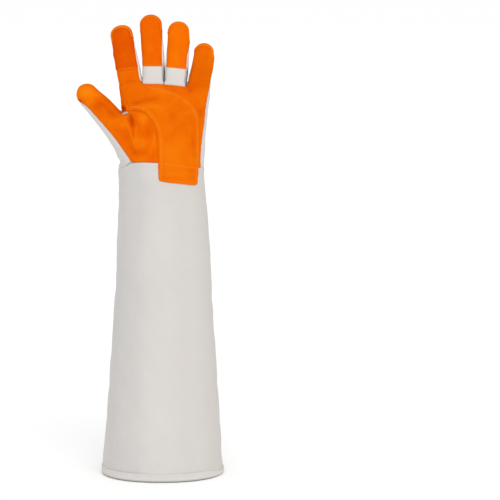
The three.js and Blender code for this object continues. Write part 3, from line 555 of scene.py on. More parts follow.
def measures(p):
    """The signed measures whose zero lines are the seams, and the panel that each point belongs to."""
    x, y, z = p[:, 0], p[:, 1], p[:, 2]
    wrist = z - np.where(y < 0, wrist_front(x), wrist_back(x))
    column = np.zeros(len(p), int)
    for gap in gaps:
        column += x > slit_x(gap, y, z)
    yf, yb = np.zeros(len(p)), np.zeros(len(p))
    pad, cap = np.full((3, len(p)), -10.0), np.full((4, len(p)), -10.0)
    for i, name in enumerate(FINGERS):
        mine = column == i
        right = x > digit[name].x_at(z)
        for side in (0, 1):
            outer = (name, side) in (("index", 0), ("little", 1))
            m = mine & (right == bool(side)) & (z > (470 if outer else 506))
            if outer:
                m &= (x < -40) if side == 0 else (x > 52)
            yf[m], yb[m] = side_f[name, side](z[m]), side_b[name, side](z[m])
        m = mine & (z > 515)
        cap[i, m] = z[m] - cap_edge[name](x[m])
        if i < 3:
            pad[i, m] = z[m] - pad_edge[name](x[m])
    root = z - root_line(x)
    outer_line = x - little_outer(z)
    tf = polygon_distance(x, z, THUMB_FRONT)
    tb = polygon_distance(x, z, THUMB_BACK)
    ts = y - thumb_side(x)
    strip = np.where(z < 505, x - thumb_outer(z), 10.0)
    patch = np.where(y < -6, polygon_distance(x, z, PATCH), 20.0)
    sf, sb = y - yf, y - yb
    tuck = np.where((y < 3) & (z < 490) & (x < -30), polygon_distance(x, z, TUCK), 20.0)
    all_ = np.vstack([wrist, root, outer_line, tf, tb, ts, strip, patch, sf, sb, y, tuck, pad, cap])

    lab = np.full(len(p), CODE["hand_back"])
    front, back = sf < 0, sb >= 0
    lab[front] = CODE["palm_base"]
    mid = (column == 1) | (column == 2)
    lab[front & mid & (root > 0)] = CODE["finger_root_band"]
    for i, name in enumerate(FINGERS[:3]):
        lab[front & (column == i) & (pad[i] > 0)] = CODE[name + "_pad"]
    lab[front & (outer_line > 0) & (x > 45)] = CODE["hand_back"]
    for i, name in enumerate(FINGERS):
        lab[back & (column == i) & (cap[i] > 0)] = CODE[name + "_cap"]
    between = ~front & ~back & (z > 500)
    for i, (gap, name) in enumerate(zip(gaps, ("index_middle", "middle_ring", "ring_little"))):
        m = between & (((column == i) & (x > digit[FINGERS[i]].x_at(z))) | ((column == i + 1) & (x <= digit[FINGERS[i + 1]].x_at(z))))
        lab[m] = CODE["fourchette_" + name]
    left = x < -30
    in_tf = (tf < 0) & (ts < 0) & (x < 5)
    in_tb = ~in_tf & left & (((y >= 0) & (tb < 0)) | ((y < 0) & ((strip < 0) | ((tf < 0) & (ts >= 0)))))
    lab[in_tf] = CODE["thumb_front"]
    lab[in_tb] = CODE["thumb_back"]
    lab[tuck < 0] = CODE["hand_back"]
    lab[wrist < 0] = CODE["cuff"]
    return all_, lab, patch < 0


def cut_along_seams(v, t):
    s, lab, pt = measures(v)
    key = lab * 2 + pt
    for k in range(len(s)):
        tri_key = key[t]
        mixed = (tri_key[:, 0] != tri_key[:, 1]) | (tri_key[:, 1] != tri_key[:, 2])
        sk = s[k]
        sk[np.abs(sk) < 1e-6] = 0
        lo, hi = sk[t].min(1), sk[t].max(1)
        todo = mixed & (lo < 0) & (hi > 0) & (hi - lo < 6)
        if not todo.any():
            continue
        # points almost on the line are moved onto it
        e = np.sort(np.vstack([t[todo][:, [0, 1]], t[todo][:, [1, 2]], t[todo][:, [2, 0]]]), axis=1)
        e = np.unique(e, axis=0)
        a, b = e[:, 0], e[:, 1]
        cross = sk[a] * sk[b] < 0
        a, b = a[cross], b[cross]
        w = sk[a] / (sk[a] - sk[b])
        near = {}
        for i, (ia, ib, wi) in enumerate(zip(a, b, w)):
            if wi < 0.22:
                near.setdefault(ia, []).append(v[ia] + (v[ib] - v[ia]) * wi)
            elif wi > 0.78:
                near.setdefault(ib, []).append(v[ia] + (v[ib] - v[ia]) * wi)
        if near:
            idx = np.array(list(near))
            v[idx] = onto_form(np.array([np.mean(q, 0) for q in near.values()]), 1)
            s2, lab2, pt2 = measures(v[idx])
            keep0 = s[:, idx] == 0
            s[:, idx] = np.where(keep0, 0, s2)
            s[k, idx] = 0
            key[idx] = lab2 * 2 + pt2
        sk = s[k]
        lo, hi = sk[t].min(1), sk[t].max(1)
        todo = mixed & (lo < 0) & (hi > 0) & (hi - lo < 6)
        tt = t[todo]
        rest = t[~todo]
        if not len(tt):
            continue
        e = np.sort(np.vstack([tt[:, [0, 1]], tt[:, [1, 2]], tt[:, [2, 0]]]), axis=1)
        e = np.unique(e, axis=0)
        cross = sk[e[:, 0]] * sk[e[:, 1]] < 0
        e = e[cross]
        w = (sk[e[:, 0]] / (sk[e[:, 0]] - sk[e[:, 1]]))[:, None]
        new = onto_form(v[e[:, 0]] * (1 - w) + v[e[:, 1]] * w, 1)
        s2, lab2, pt2 = measures(new)
        zero = (s[:, e[:, 0]] == 0) & (s[:, e[:, 1]] == 0)
        s2 = np.where(zero, 0, s2)
        s2[k] = 0
        first = len(v)
        v = np.vstack([v, new])
        s = np.hstack([s, s2])
        key = np.concatenate([key, lab2 * 2 + pt2])
        where = {(int(i), int(j)): first + n for n, (i, j) in enumerate(e)}
        sk = s[k]
        made = []
        for i0, i1, i2 in tt:
            tri = [int(i0), int(i1), int(i2)]
            sg = [int(np.sign(sk[i])) for i in tri]
            if 0 in sg:
                r = sg.index(0)
                o, p_, q_ = tri[r], tri[(r + 1) % 3], tri[(r + 2) % 3]
                m = where[(min(p_, q_), max(p_, q_))]
                made += [(o, p_, m), (o, m, q_)]
            else:
                r = next(j for j in range(3) if sg[j] != sg[(j + 1) % 3] and sg[j] != sg[(j + 2) % 3])
                o, p_, q_ = tri[r], tri[(r + 1) % 3], tri[(r + 2) % 3]
                m1, m2 = where[(min(o, p_), max(o, p_))], where[(min(o, q_), max(o, q_))]
                made += [(o, m1, m2), (m1, p_, q_), (m1, q_, m2)]
        t = np.vstack([rest, np.array(made, int)])
    mid = v[t].mean(1)
    mid = onto_form(mid, 1)
    _, lab, pt = measures(mid)
    return v, t, lab, pt


def tidy_labels(v, t, lab, small=60):
    """Small stray islands of a label take the label around them."""
    for _ in range(3):
        n = len(t)
        e = np.sort(np.vstack([t[:, [0, 1]], t[:, [1, 2]], t[:, [2, 0]]]), axis=1)
        own = np.tile(np.arange(n), 3)
        order = np.lexsort((e[:, 1], e[:, 0]))
        e, own = e[order], own[order]
        same = (e[1:] == e[:-1]).all(1)
        a, b = own[:-1][same], own[1:][same]
        comp = np.arange(n)
        link = lab[a] == lab[b]
        la, lb = a[link], b[link]
        while True:
            m = np.minimum(comp[la], comp[lb])
            old = comp.copy()
            np.minimum.at(comp, la, m)
            np.minimum.at(comp, lb, m)
            comp = comp[comp]
            if (comp == old).all():
                break
        size = np.bincount(comp, minlength=n)
        tiny = size[comp] < small
        if not tiny.any():
            break
        fix = tiny[a] & ~tiny[b]
        fix2 = tiny[b] & ~tiny[a]
        lab = lab.copy()
        lab[a[fix]] = lab[b[fix]]
        lab[b[fix2]] = lab[a[fix2]]
    return lab


def seams_of(v, t, lab):
    """Edges between two labels: {(label, label): edge list}."""
    n = len(t)
    e = np.sort(np.vstack([t[:, [0, 1]], t[:, [1, 2]], t[:, [2, 0]]]), axis=1)
    own = np.tile(np.arange(n), 3)
    order = np.lexsort((e[:, 1], e[:, 0]))
    e, own = e[order], own[order]
    same = (e[1:] == e[:-1]).all(1)
    a, b = own[:-1][same], own[1:][same]
    ed = e[:-1][same]
    diff = lab[a] != lab[b]
    out = {}
    for edge, i, j in zip(ed[diff], lab[a][diff], lab[b][diff]):
        out.setdefault((min(i, j), max(i, j)), []).append(edge)
    return {k: np.array(x) for k, x in out.items()}


class Near:
    """Distance to a set of seam edges, only where the surface faces the same way."""

    def __init__(self, points, normals, edges):
        mids, norm = [], []
        for f in (0.0, 0.25, 0.5, 0.75):
            mids.append(points[edges[:, 0]] * (1 - f) + points[edges[:, 1]] * f)
            norm.append(normals[edges[:, 0]] * (1 - f) + normals[edges[:, 1]] * f)
        self.p, self.n = np.vstack(mids), np.vstack(norm)
        self.tree = KDTree(len(self.p))
        for i, q in enumerate(self.p):
            self.tree.insert(q, i)
        self.tree.balance()
        self.lo, self.hi = self.p.min(0) - 15, self.p.max(0) + 15

    def distance(self, points, normals, reach=12.0):
        out = np.full(len(points), 99.0)
        todo = np.nonzero(((points > self.lo) & (points < self.hi)).all(1))[0]
        for i in todo:
            co, j, d = self.tree.find(points[i])
            if d > reach:
                continue
            if self.n[j] @ normals[i] > 0.05:
                out[i] = d
            else:
                for co, j, d in self.tree.find_n(points[i], 24):
                    if d > reach:
                        break
                    if self.n[j] @ normals[i] > 0.05:
                        out[i] = d
                        break
        return out


# ------------------------------------------------------------------ relief: folds, seams, fine unevenness
wave_wide, wave_mid = waves(11, 26, 55, 130), waves(12, 30, 20, 42)
wave_small, wave_pucker = waves(13, 36, 7, 14), waves(14, 40, 5.5, 9)


def folds(p, n):
    """Height of the soft folds alone, mm."""
    x, z, d = p[:, 0], p[:, 2], np.zeros(len(p))
    for side, line, height, wide in FOLDS:
        m = n[:, 1] * side > 0.1
        path = rounded(line, 2)
        lo, hi = path.min(0) - 3.2 * wide, path.max(0) + 3.2 * wide
        m &= (x > lo[0]) & (x < hi[0]) & (z > lo[1]) & (z < hi[1])
        if m.any():
            r = line_distance(x[m], z[m], path) / wide
            d[m] += 0.9 * height * np.exp(-r * r) * smooth01((np.abs(n[m, 1]) - 0.1) / 0.4)
    return d


def relief(p, n):
    """Folds, dents and unevenness that run on through every panel, mm along the normal."""
    x, z = p[:, 0], p[:, 2]
    d = 0.45 * wave_wide(p) + 0.26 * wave_mid(p) + 0.06 * wave_small(p)
    tip = smooth01((z - 488) / 40) + smooth01((-56 - x) / 30)
    d *= 1 - 0.62 * np.clip(tip, 0, 1)
    d += folds(p, n)
    # the wrist seam pulls the leather in under the thumb
    d -= 2.3 * np.exp(-(((z - 411.0) / 4.0) ** 2)) * smooth01((-42 - x) / 10)
    facing = smooth01((np.abs(n[:, 1]) - 0.15) / 0.5)
    for cx, cz, side, rx, rz, depth in DENTS:
        m = n[:, 1] * side > 0.05
        far = ((x[m] - cx) / rx) ** 2 + ((z[m] - cz) / rz) ** 2
        d[m] -= depth * np.exp(-far) * facing[m]
    return d


def tones(p, n):
    """Lighter (+) and darker (-) places, with painted highlight on the folds' ridges and painted shade in their
    valleys.
    """
    x, z, t = p[:, 0], p[:, 2], np.zeros(len(p))
    for side, cx, cz, rx, rz, amount in TONES:
        t += amount * np.exp(-(((x - cx) / rx) ** 2) - ((z - cz) / rz) ** 2) * smooth01((n[:, 1] * side + 0.35) / 0.5)
    # painted highlight on the folds' ridges and painted shade in their valleys
    return np.clip(0.85 * t + np.interp(folds(p, n), [-2, 0, 1.2], [-0.55, 0, 0.42]), -1, 1)


def groove(d, depth, wide, puff=0.3):
    return -depth * np.exp(-((d / wide) ** 1.6)) + puff * np.exp(-(((d - 3.2) / 2.0) ** 2))


def unit(a):
    return a / np.maximum(np.linalg.norm(a, axis=1), 1e-9)[:, None]


v, tri, lab, in_patch = cut_along_seams(*hand_surface())
lab = tidy_labels(v, tri, lab)
nrm = unit(slope(v))
seams = seams_of(v, tri, lab)
is_pad = lambda s: s.endswith("_pad")
is_cap = lambda s: s.endswith("_cap")


def kind(a, b):
    s = {a, b}
    if "cuff" in s:
        return "wrist"
    if (is_pad(a) and is_cap(b)) or (is_cap(a) and is_pad(b)) or s == {"palm_base", "little_cap"}:
        return "tip"
    if (is_pad(a) or is_pad(b)) and ("finger_root_band" in s or "palm_base" in s):
        return "pad"
    if (is_cap(a) or is_cap(b)) and ("hand_back" in s):
        return "cap"
    if s == {"palm_base", "finger_root_band"}:
        return "root"
    if s == {"palm_base", "thumb_front"}:
        return "arc"
    return "inseam"


near = {}
for name in ("wrist", "tip", "pad", "cap", "root", "arc", "inseam"):
    edges = [e for k, e in seams.items() if kind(PANELS[k[0]], PANELS[k[1]]) == name]
    if edges:
        near[name] = Near(v, nrm, np.vstack(edges))


def seam_distances(p, n):
    return {name: near[name].distance(p, n, 14.0) for name in near}


def seam_depth(p, r):
    """How the seams draw the leather in, and the leather's rise beside them."""
    finger, back = smooth01((p[:, 2] - 470) / 35), smooth01((p[:, 1] - 2) / 10)
    d = groove(r["inseam"], 1.0, 1.2, 0.3) * (1 - 0.75 * finger) * (1 - 0.45 * back)
    d += groove(r["arc"], 0.25, 1.0, 0.12)
    d += groove(r["wrist"], 0.9, 1.2, 0.3) * (1 - 0.5 * back) * (1 - 0.45 * smooth01((-36 - p[:, 0]) / 6))
    d += groove(r["root"], 0.8, 1.0, 0.2)
    d += groove(r["tip"], 0.6, 0.8, 0.15)
    d += groove(r["pad"], 0.25, 1.0, 0.0)
    d += groove(r["cap"], 0.3, 0.9, 0.0)
    sewn = np.minimum.reduce([r["inseam"], r["wrist"], r["root"], r["tip"]])
    return d + (0.18 - 0.12 * finger) * wave_pucker(p) * np.exp(-((sewn / 4.5) ** 2))


def quiet(p):
    """How dark the seams are: less on the back of the glove, and there only in places."""
    return 1 - (1 - np.clip(0.42 + 0.35 * wave_wide(p), 0.1, 0.85)) * smooth01((p[:, 1] - 2) / 10)


TIP_PIECES = ("index_tip", "middle_tip", "ring_tip")


def overlap(name, r):
    """Pads and caps lie over the leather they are sewn on: their edge stands up. Also the paler edge: partly the cut
    edge's own colour, partly painted highlight where the raised edge catches the light.
    """
    d, rim = np.zeros(len(r["pad"])), np.zeros(len(r["pad"]))
    if name in TIP_PIECES:
        e = r["pad"]
        d += 0.75 * (0.45 + 0.55 * smooth01(e / 0.9)) * np.exp(-((e / 8.0) ** 2)) - 0.22 * np.exp(-(((e - 2.1) / 0.7) ** 2))
        rim = np.maximum(rim, 0.8 * np.exp(-((e / 1.0) ** 2)))
    if name in TIP_PIECES or name == "palm_base":
        e = r["cap"]
        d += 0.4 * (0.3 + 0.7 * smooth01(e / 0.9)) * np.exp(-((e / 5.0) ** 2)) - 0.15 * np.exp(-(((e - 2.0) / 0.7) ** 2))
        rim = np.maximum(rim, 0.7 * np.exp(-((e / 1.0) ** 2)))
    if name == "palm_base":
        e = r["root"]
        d += 0.5 * (0.45 + 0.55 * smooth01(e / 0.9)) * np.exp(-((e / 5.0) ** 2))
        rim = np.maximum(rim, 0.7 * np.exp(-((e / 1.0) ** 2)))
    return d, rim


STITCH_IN, STITCH_ARC = 3.0, 4.3  # how far the patch's stitches lie from its edge, and from its edge round the thumb


def patch_edge(p):
    return np.maximum(-polygon_distance(p[:, 0], p[:, 2], PATCH), 0)


def stitch_line(p):
    """Distance to the line of stitches that runs round the patch."""
    by_arc = line_distance(p[:, 0], p[:, 2], arc)
    e = patch_edge(p)
    return np.where(by_arc < e + 0.3, np.abs(by_arc - STITCH_ARC), np.abs(e - STITCH_IN))


def patch_lift(p, wrist):
    """How far the patch's face stands above the palm leather."""
    e, line = patch_edge(p), stitch_line(p)
    lift = PATCH_UP * (0.5 + 0.5 * smooth01(e / 1.3))
    lift += 0.20 * np.exp(-(((line - 1.3) / 0.8) ** 2)) - 0.22 * np.exp(-((line / 0.6) ** 2))
    lift *= 0.22 + 0.78 * smooth01((p[:, 0] + 51) / 9)
    lift -= 0.35 * np.exp(-((wrist / 1.1) ** 2)) - 0.1 * np.exp(-(((wrist - 2.5) / 1.5) ** 2))
    return lift + 0.12 * wave_pucker(p) * np.exp(-((e / 6.0) ** 2))


common = relief(v, nrm)
tone = tones(v, nrm)
reach = seam_distances(v, nrm)
moved = common + seam_depth(v, reach)
# painted shade down in the slits between the fingers: at the slits' mouths, on the gusset sides turned from the light,
# and over the back half of the gussets
deep = np.zeros(len(v))
front = smooth01((1 - v[:, 1]) / 3)
for gap, floor, top_of, much in zip(gaps, GAP_FLOOR, (521, 539, 535), (0.45, 0.8, 0.7)):
    side = np.abs(v[:, 0] - slit_x(gap, v[:, 1], v[:, 2]))
    inside = (v[:, 2] > floor - 2) & (side < 7)
    slit_shade = np.exp(-((np.maximum(side - SLIT, 0) / 0.35) ** 2)) * smooth01((top_of - v[:, 2]) / 8)
    right_facing_shade = much * smooth01((nrm[:, 0] - 0.5) / 0.4) * front
    right_facing_shade *= 0.75 * smooth01((top_of - v[:, 2]) / 8) + 0.25 * smooth01((top_of + 16 - v[:, 2]) / 12)
    behind_shade = 0.8 * smooth01((np.abs(nrm[:, 0]) - 0.5) / 0.4) * smooth01((floor + 34 - v[:, 2]) / 22) * (1 - front)
    deep = np.maximum(deep, np.maximum.reduce([slit_shade, right_facing_shade, behind_shade]) * inside)
# painted shade in the crotch of the thumb
crotch = np.exp(-(((v[:, 0] + 48.0) / 2.2) ** 2) - ((v[:, 2] - 479.4) / 3.0) ** 2) * smooth01((2 - v[:, 1]) / 3)
slit_and_crotch_shade = np.maximum(deep, 0.75 * crotch)


def close_up(outer, inner, t):
    """A closed shell: outer skin, inner skin and the walls between them along every free edge."""
    used = np.unique(t)
    new = np.full(len(outer), -1)
    new[used] = np.arange(len(used))
    t = new[t]
    n = len(used)
    e = np.vstack([t[:, [0, 1]], t[:, [1, 2]], t[:, [2, 0]]])
    code = e[:, 0].astype(np.int64) * n + e[:, 1]
    back = e[:, 1].astype(np.int64) * n + e[:, 0]
    free = e[~np.isin(code, back)]
    rim = np.unique(free)
    ring = np.full(n, -1)
    ring[rim] = 2 * n + np.arange(len(rim))
    middle = outer[used][rim] * 0.62 + inner[used][rim] * 0.38
    verts = np.vstack([outer[used], inner[used], middle])
    a, b = free[:, 0], free[:, 1]
    walls = np.vstack([
        np.stack([b, a, ring[a]], 1), np.stack([b, ring[a], ring[b]], 1),
        np.stack([ring[b], ring[a], a + n], 1), np.stack([ring[b], a + n, b + n], 1),
    ])
    return verts, np.vstack([t, t[:, ::-1] + n, walls]), used, rim


def make_mesh(name, verts, faces, material, attributes=None, sharp=55):
    me = bpy.data.meshes.new(name)
    co = (verts + SHIFT) / 1000.0
    faces = np.asarray(faces)
    me.vertices.add(len(co))
    me.vertices.foreach_set("co", co.astype(np.float32).ravel())
    k = faces.shape[1]
    me.loops.add(faces.size)
    me.loops.foreach_set("vertex_index", faces.astype(np.int32).ravel())
    me.polygons.add(len(faces))
    me.polygons.foreach_set("loop_start", np.arange(0, faces.size, k, dtype=np.int32))
    me.update(calc_edges=True)
    me.validate()
    me.polygons.foreach_set("use_smooth", np.ones(len(me.polygons), bool))
    if sharp:
        me.set_sharp_from_angle(angle=math.radians(sharp))
    for key, values in (attributes or {}).items():
        at = me.attributes.new(key, "FLOAT", "POINT")
        at.data.foreach_set("value", np.asarray(values, np.float32))
    me.materials.append(material)
    o = bpy.data.objects.new(name, me)
    bpy.context.scene.collection.objects.link(o)
    return o


# ------------------------------------------------------------------ materials
class Nodes:
    """Small helper to write a shader as a chain of calls."""

    def __init__(self, name):
        self.mat = bpy.data.materials.new(name)
        self.mat.use_nodes = True
        self.tree = self.mat.node_tree
        self.bsdf = next(n for n in self.tree.nodes if n.type == "BSDF_PRINCIPLED")
        self.coords = self.tree.nodes.new("ShaderNodeTexCoord").outputs["Object"]

    def put(self, socket, value):
        if isinstance(value, bpy.types.NodeSocket):
            self.tree.links.new(value, socket)
        elif value is not None:
            socket.default_value = value

    def noise(self, scale, detail=2.0, rough=0.5, distort=0.0, coords=None):
        n = self.tree.nodes.new("ShaderNodeTexNoise")
        self.put(n.inputs["Vector"], coords or self.coords)
        n.inputs["Scale"].default_value = scale
        n.inputs["Detail"].default_value = detail
        n.inputs["Roughness"].default_value = rough
        n.inputs["Distortion"].default_value = distort
        return n.outputs["Fac"]

    def voronoi(self, scale, feature="F1", coords=None):
        n = self.tree.nodes.new("ShaderNodeTexVoronoi")
        n.feature = feature
        self.put(n.inputs["Vector"], coords or self.coords)
        n.inputs["Scale"].default_value = scale
        return n.outputs["Distance"]

    def stretch(self, scale, rotate=(0, 0, 0)):
        n = self.tree.nodes.new("ShaderNodeMapping")
        self.put(n.inputs["Vector"], self.coords)
        n.inputs["Scale"].default_value = scale
        n.inputs["Rotation"].default_value = rotate
        return n.outputs["Vector"]

    def attribute(self, name):
        n = self.tree.nodes.new("ShaderNodeAttribute")
        n.attribute_name = name
        return n.outputs["Fac"]

    def math(self, op, a, b=0.0, c=None):
        n = self.tree.nodes.new("ShaderNodeMath")
        n.operation = op
        self.put(n.inputs[0], a)
        self.put(n.inputs[1], b)
        if c is not None:
            self.put(n.inputs[2], c)
        return n.outputs[0]

    def span(self, value, a, b, lo=0.0, hi=1.0):
        n = self.tree.nodes.new("ShaderNodeMapRange")
        n.interpolation_type = "SMOOTHSTEP"
        self.put(n.inputs["Value"], value)
        for key, x in (("From Min", a), ("From Max", b), ("To Min", lo), ("To Max", hi)):
            n.inputs[key].default_value = x
        return n.outputs["Result"]

    def mix(self, fac, a, b, blend="MIX"):
        n = self.tree.nodes.new("ShaderNodeMix")
        n.data_type = "RGBA"
        n.blend_type = blend
        self.put(n.inputs[0], fac)
        self.put(n.inputs[6], a if isinstance(a, bpy.types.NodeSocket) else (*a, 1.0))
        self.put(n.inputs[7], b if isinstance(b, bpy.types.NodeSocket) else (*b, 1.0))
        return n.outputs[2]

    def bump(self, height, distance, strength=1.0, normal=None):
        n = self.tree.nodes.new("ShaderNodeBump")
        n.inputs["Strength"].default_value = strength
        n.inputs["Distance"].default_value = distance
        self.put(n.inputs["Height"], height)
        if normal is not None:
            self.put(n.inputs["Normal"], normal)
        return n.outputs["Normal"]


def light_leather(name, tone=(0.618, 0.592, 0.568), cool=(0.575, 0.568, 0.560), warm=(0.612, 0.570, 0.528)):
    m = Nodes(name)
    wide = m.span(m.noise(9.0, 3, 0.55, 0.4), 0.36, 0.66)
    patches = m.span(m.noise(31.0, 4, 0.6, 0.8), 0.38, 0.66)
    grain = m.noise(420.0, 3, 0.6)
    pores = m.span(m.voronoi(760.0), 0.05, 0.42)
    fibre = m.noise(1500.0, 2, 0.5)
    c = m.mix(m.math("MULTIPLY", wide, 0.4), tone, cool)
    c = m.mix(m.math("MULTIPLY", patches, 0.3), c, warm)
    c = m.mix(m.span(grain, 0.3, 0.7, 0.0, 0.10), c, tuple(k * 0.8 for k in tone))
    # tone: lighter and darker places, from the leather's uneven colour and from painted highlight and painted shade
    # (fold ridges and valleys, hollows by the thumb, the lit tuck, the sleeve's turned sides)
    c = m.mix(m.span(m.attribute("tone"), 0.0, 1.0, 0.0, 0.5), c, tuple(min(1, k * 1.16) for k in tone))
    c = m.mix(m.span(m.attribute("tone"), 0.0, -1.0, 0.0, 0.6), c, tuple(k * 0.70 * b for k, b in zip(cool, (0.98, 1.0, 1.035))))
    # warm: painted shade, darker and warmer, towards the sleeve's right edge
    c = m.mix(m.math("MULTIPLY", m.attribute("warm"), 0.6), c, (0.50, 0.465, 0.425))
    # seam: darker along the seams, partly the joints' own darker line, partly painted shade in their crevices
    c = m.mix(m.math("MULTIPLY", m.attribute("seam"), 0.35), c, (0.36, 0.345, 0.335))
    # rim: paler edges and bands, partly the leather's own paler cut edge, partly painted highlight where raised edges
    # turn to the light
    c = m.mix(m.math("MULTIPLY", m.attribute("rim"), 0.4), c, (0.72, 0.70, 0.675))
    # deep: painted shade down in the slits between the fingers, and painted contact shadow at the hem's foot
    c = m.mix(m.math("MULTIPLY", m.attribute("deep"), 0.85), c, (0.12, 0.11, 0.105))
    m.put(m.bsdf.inputs["Base Color"], c)
    m.put(m.bsdf.inputs["Roughness"], m.span(patches, 0.0, 1.0, 0.70, 0.82))
    m.bsdf.inputs["Specular IOR Level"].default_value = 0.26
    m.bsdf.inputs["Sheen Weight"].default_value = 0.06
    m.bsdf.inputs["Sheen Roughness"].default_value = 0.5
    h = m.math("ADD", m.math("MULTIPLY", grain, 0.6), m.math("ADD", m.math("MULTIPLY", fibre, 0.2), m.math("MULTIPLY", pores, 0.2)))
    m.put(m.bsdf.inputs["Normal"], m.bump(h, 0.00022, 0.55))
    return m.mat


def orange_suede(name, tone=(0.785, 0.138, 0.0012), deep=(0.69, 0.094, 0.0006), pale=(0.84, 0.20, 0.003), patch_scale=16.0):
    m = Nodes(name)
    nap = m.span(m.noise(patch_scale, 4, 0.6, 1.2), 0.36, 0.64)
    streak = m.span(m.noise(22.0, 3, 0.6, 0.6, m.stretch((1.0, 1.0, 0.35), (0.2, 0.5, 0.3))), 0.40, 0.66)
    grain = m.noise(520.0, 3, 0.65)
    fibre = m.noise(1900.0, 2, 0.5)
    blots = m.noise(48.0, 2, 0.5, 0.6)
    c = m.mix(m.math("MULTIPLY", nap, 0.38), tone, deep)
    c = m.mix(m.math("MULTIPLY", streak, 0.30), c, pale)
    c = m.mix(m.span(blots, 0.50, 0.72, 0.0, 0.42), c, deep)
    c = m.mix(m.span(blots, 0.50, 0.28, 0.0, 0.42), c, pale)
    c = m.mix(m.span(grain, 0.32, 0.72, 0.0, 0.13), c, tuple(k * 0.74 for k in deep))
    # tone: lighter and darker places, from the suede's uneven colour and from painted highlight and painted shade of
    # folds and hollows
    c = m.mix(m.span(m.attribute("tone"), 0.0, 1.0, 0.0, 0.9), c, pale)
    c = m.mix(m.span(m.attribute("tone"), 0.0, -1.0, 0.0, 0.95), c, (0.50, 0.050, 0.0003))
    # seam: darker along the seams, partly the joints' own darker line, partly painted shade in their crevices; on the
    # palm also painted shadow under the pads' edges and beside the patch's raised edge
    c = m.mix(m.math("MULTIPLY", m.attribute("seam"), 0.55), c, (0.36, 0.034, 0.0004))
    # rim: paler edges, partly the cut edge's own colour, partly painted highlight and sheen where edges turn from view
    c = m.mix(m.math("MULTIPLY", m.attribute("rim"), 0.8), c, (0.87, 0.235, 0.012))
    # deep: painted shade in the slits between the fingers and in the crotch of the thumb
    c = m.mix(m.math("MULTIPLY", m.attribute("deep"), 0.8), c, (0.20, 0.045, 0.003))
    m.put(m.bsdf.inputs["Base Color"], c)
    m.put(m.bsdf.inputs["Roughness"], m.span(grain, 0.2, 0.8, 0.88, 0.97))
    m.bsdf.inputs["Specular IOR Level"].default_value = 0.0
    m.bsdf.inputs["Sheen Weight"].default_value = 0.22
    m.bsdf.inputs["Sheen Roughness"].default_value = 0.30
    m.bsdf.inputs["Sheen Tint"].default_value = (1.0, 0.38, 0.02, 1.0)
    h = m.math("ADD", m.math("MULTIPLY", grain, 0.6), m.math("MULTIPLY", fibre, 0.4))
    m.put(m.bsdf.inputs["Normal"], m.bump(h, 0.00022, 0.6))
    return m.mat


def thread(name, tone, shine=0.2):
    m = Nodes(name)
    twist = m.noise(2600.0, 2, 0.5)
    m.put(m.bsdf.inputs["Base Color"], m.mix(m.span(twist, 0.3, 0.7, 0.0, 0.4), tone, tuple(k * 0.8 for k in tone)))
    m.bsdf.inputs["Roughness"].default_value = 0.7
    m.bsdf.inputs["Specular IOR Level"].default_value = shine
    m.put(m.bsdf.inputs["Normal"], m.bump(twist, 0.0001, 0.4))
    return m.mat


LIGHT = light_leather("light_leather_grain")
LIGHT_GUSSET = light_leather("light_leather_gusset", tone=(0.83, 0.80, 0.775), cool=(0.80, 0.78, 0.765), warm=(0.82, 0.775, 0.74))
LIGHT_BAND = light_leather("light_leather_soft", tone=(0.645, 0.628, 0.610), cool=(0.615, 0.605, 0.598), warm=(0.645, 0.615, 0.592))
ORANGE = {
    "palm": orange_suede("orange_suede_palm"),
    "patch": orange_suede("orange_suede_patch", tone=(0.785, 0.143, 0.0014), deep=(0.705, 0.106, 0.0008), pale=(0.80, 0.185, 0.003)),
    "thumb": orange_suede("orange_suede_thumb", tone=(0.785, 0.132, 0.001), deep=(0.70, 0.096, 0.0006), pale=(0.85, 0.215, 0.004)),
    "index": orange_suede("orange_suede_index", tone=(0.685, 0.084, 0.0006), deep=(0.64, 0.074, 0.0004), pale=(0.78, 0.150, 0.002)),
    "middle": orange_suede("orange_suede_middle", tone=(0.775, 0.117, 0.001), deep=(0.72, 0.100, 0.0008), pale=(0.83, 0.17, 0.002)),
    "ring": orange_suede("orange_suede_ring", tone=(0.815, 0.143, 0.001), deep=(0.78, 0.124, 0.0008), pale=(0.86, 0.195, 0.003)),
}
THREAD_ORANGE = thread("thread_orange", (0.86, 0.225, 0.018), 0.02)
THREAD_LIGHT = thread("thread_light", (0.72, 0.70, 0.67))

# ------------------------------------------------------------------ the hand's panels
GROUPS = {
    "hand_back": (["hand_back"], LIGHT, "light_leather"),
    "thumb_back": (["thumb_back"], LIGHT, "light_leather"),
    "finger_root_band": (["finger_root_band"], LIGHT_BAND, "light_leather"),
    "fourchette_index_middle": (["fourchette_index_middle"], LIGHT_GUSSET, "light_leather"),
    "fourchette_middle_ring": (["fourchette_middle_ring"], LIGHT_GUSSET, "light_leather"),
    "fourchette_ring_little": (["fourchette_ring_little"], LIGHT_GUSSET, "light_leather"),
    "thumb_front": (["thumb_front"], ORANGE["thumb"], "orange_leather"),
    "palm_base": (["palm_base", "little_cap"], ORANGE["palm"], "orange_leather"),
    "index_tip": (["index_pad", "index_cap"], ORANGE["index"], "orange_leather"),
    "middle_tip": (["middle_pad", "middle_cap"], ORANGE["middle"], "orange_leather"),
    "ring_tip": (["ring_pad", "ring_cap"], ORANGE["ring"], "orange_leather"),
}
# darker along the seams: partly the joints' own darker line, partly painted shade in their crevices
sewn_all = np.minimum.reduce([reach["inseam"], reach["wrist"], reach["tip"], reach["root"]])
seam_dark = np.exp(-((sewn_all / 0.9) ** 2)) * (0.8 - 0.6 * smooth01((v[:, 2] - 505) / 15))
seam_dark = np.maximum(seam_dark, 0.35 * np.exp(-((reach["tip"] / 0.8) ** 2))) * quiet(v)
seam_dark *= 1 - 0.5 * smooth01((-36 - v[:, 0]) / 6) * smooth01((422 - v[:, 2]) / 6)
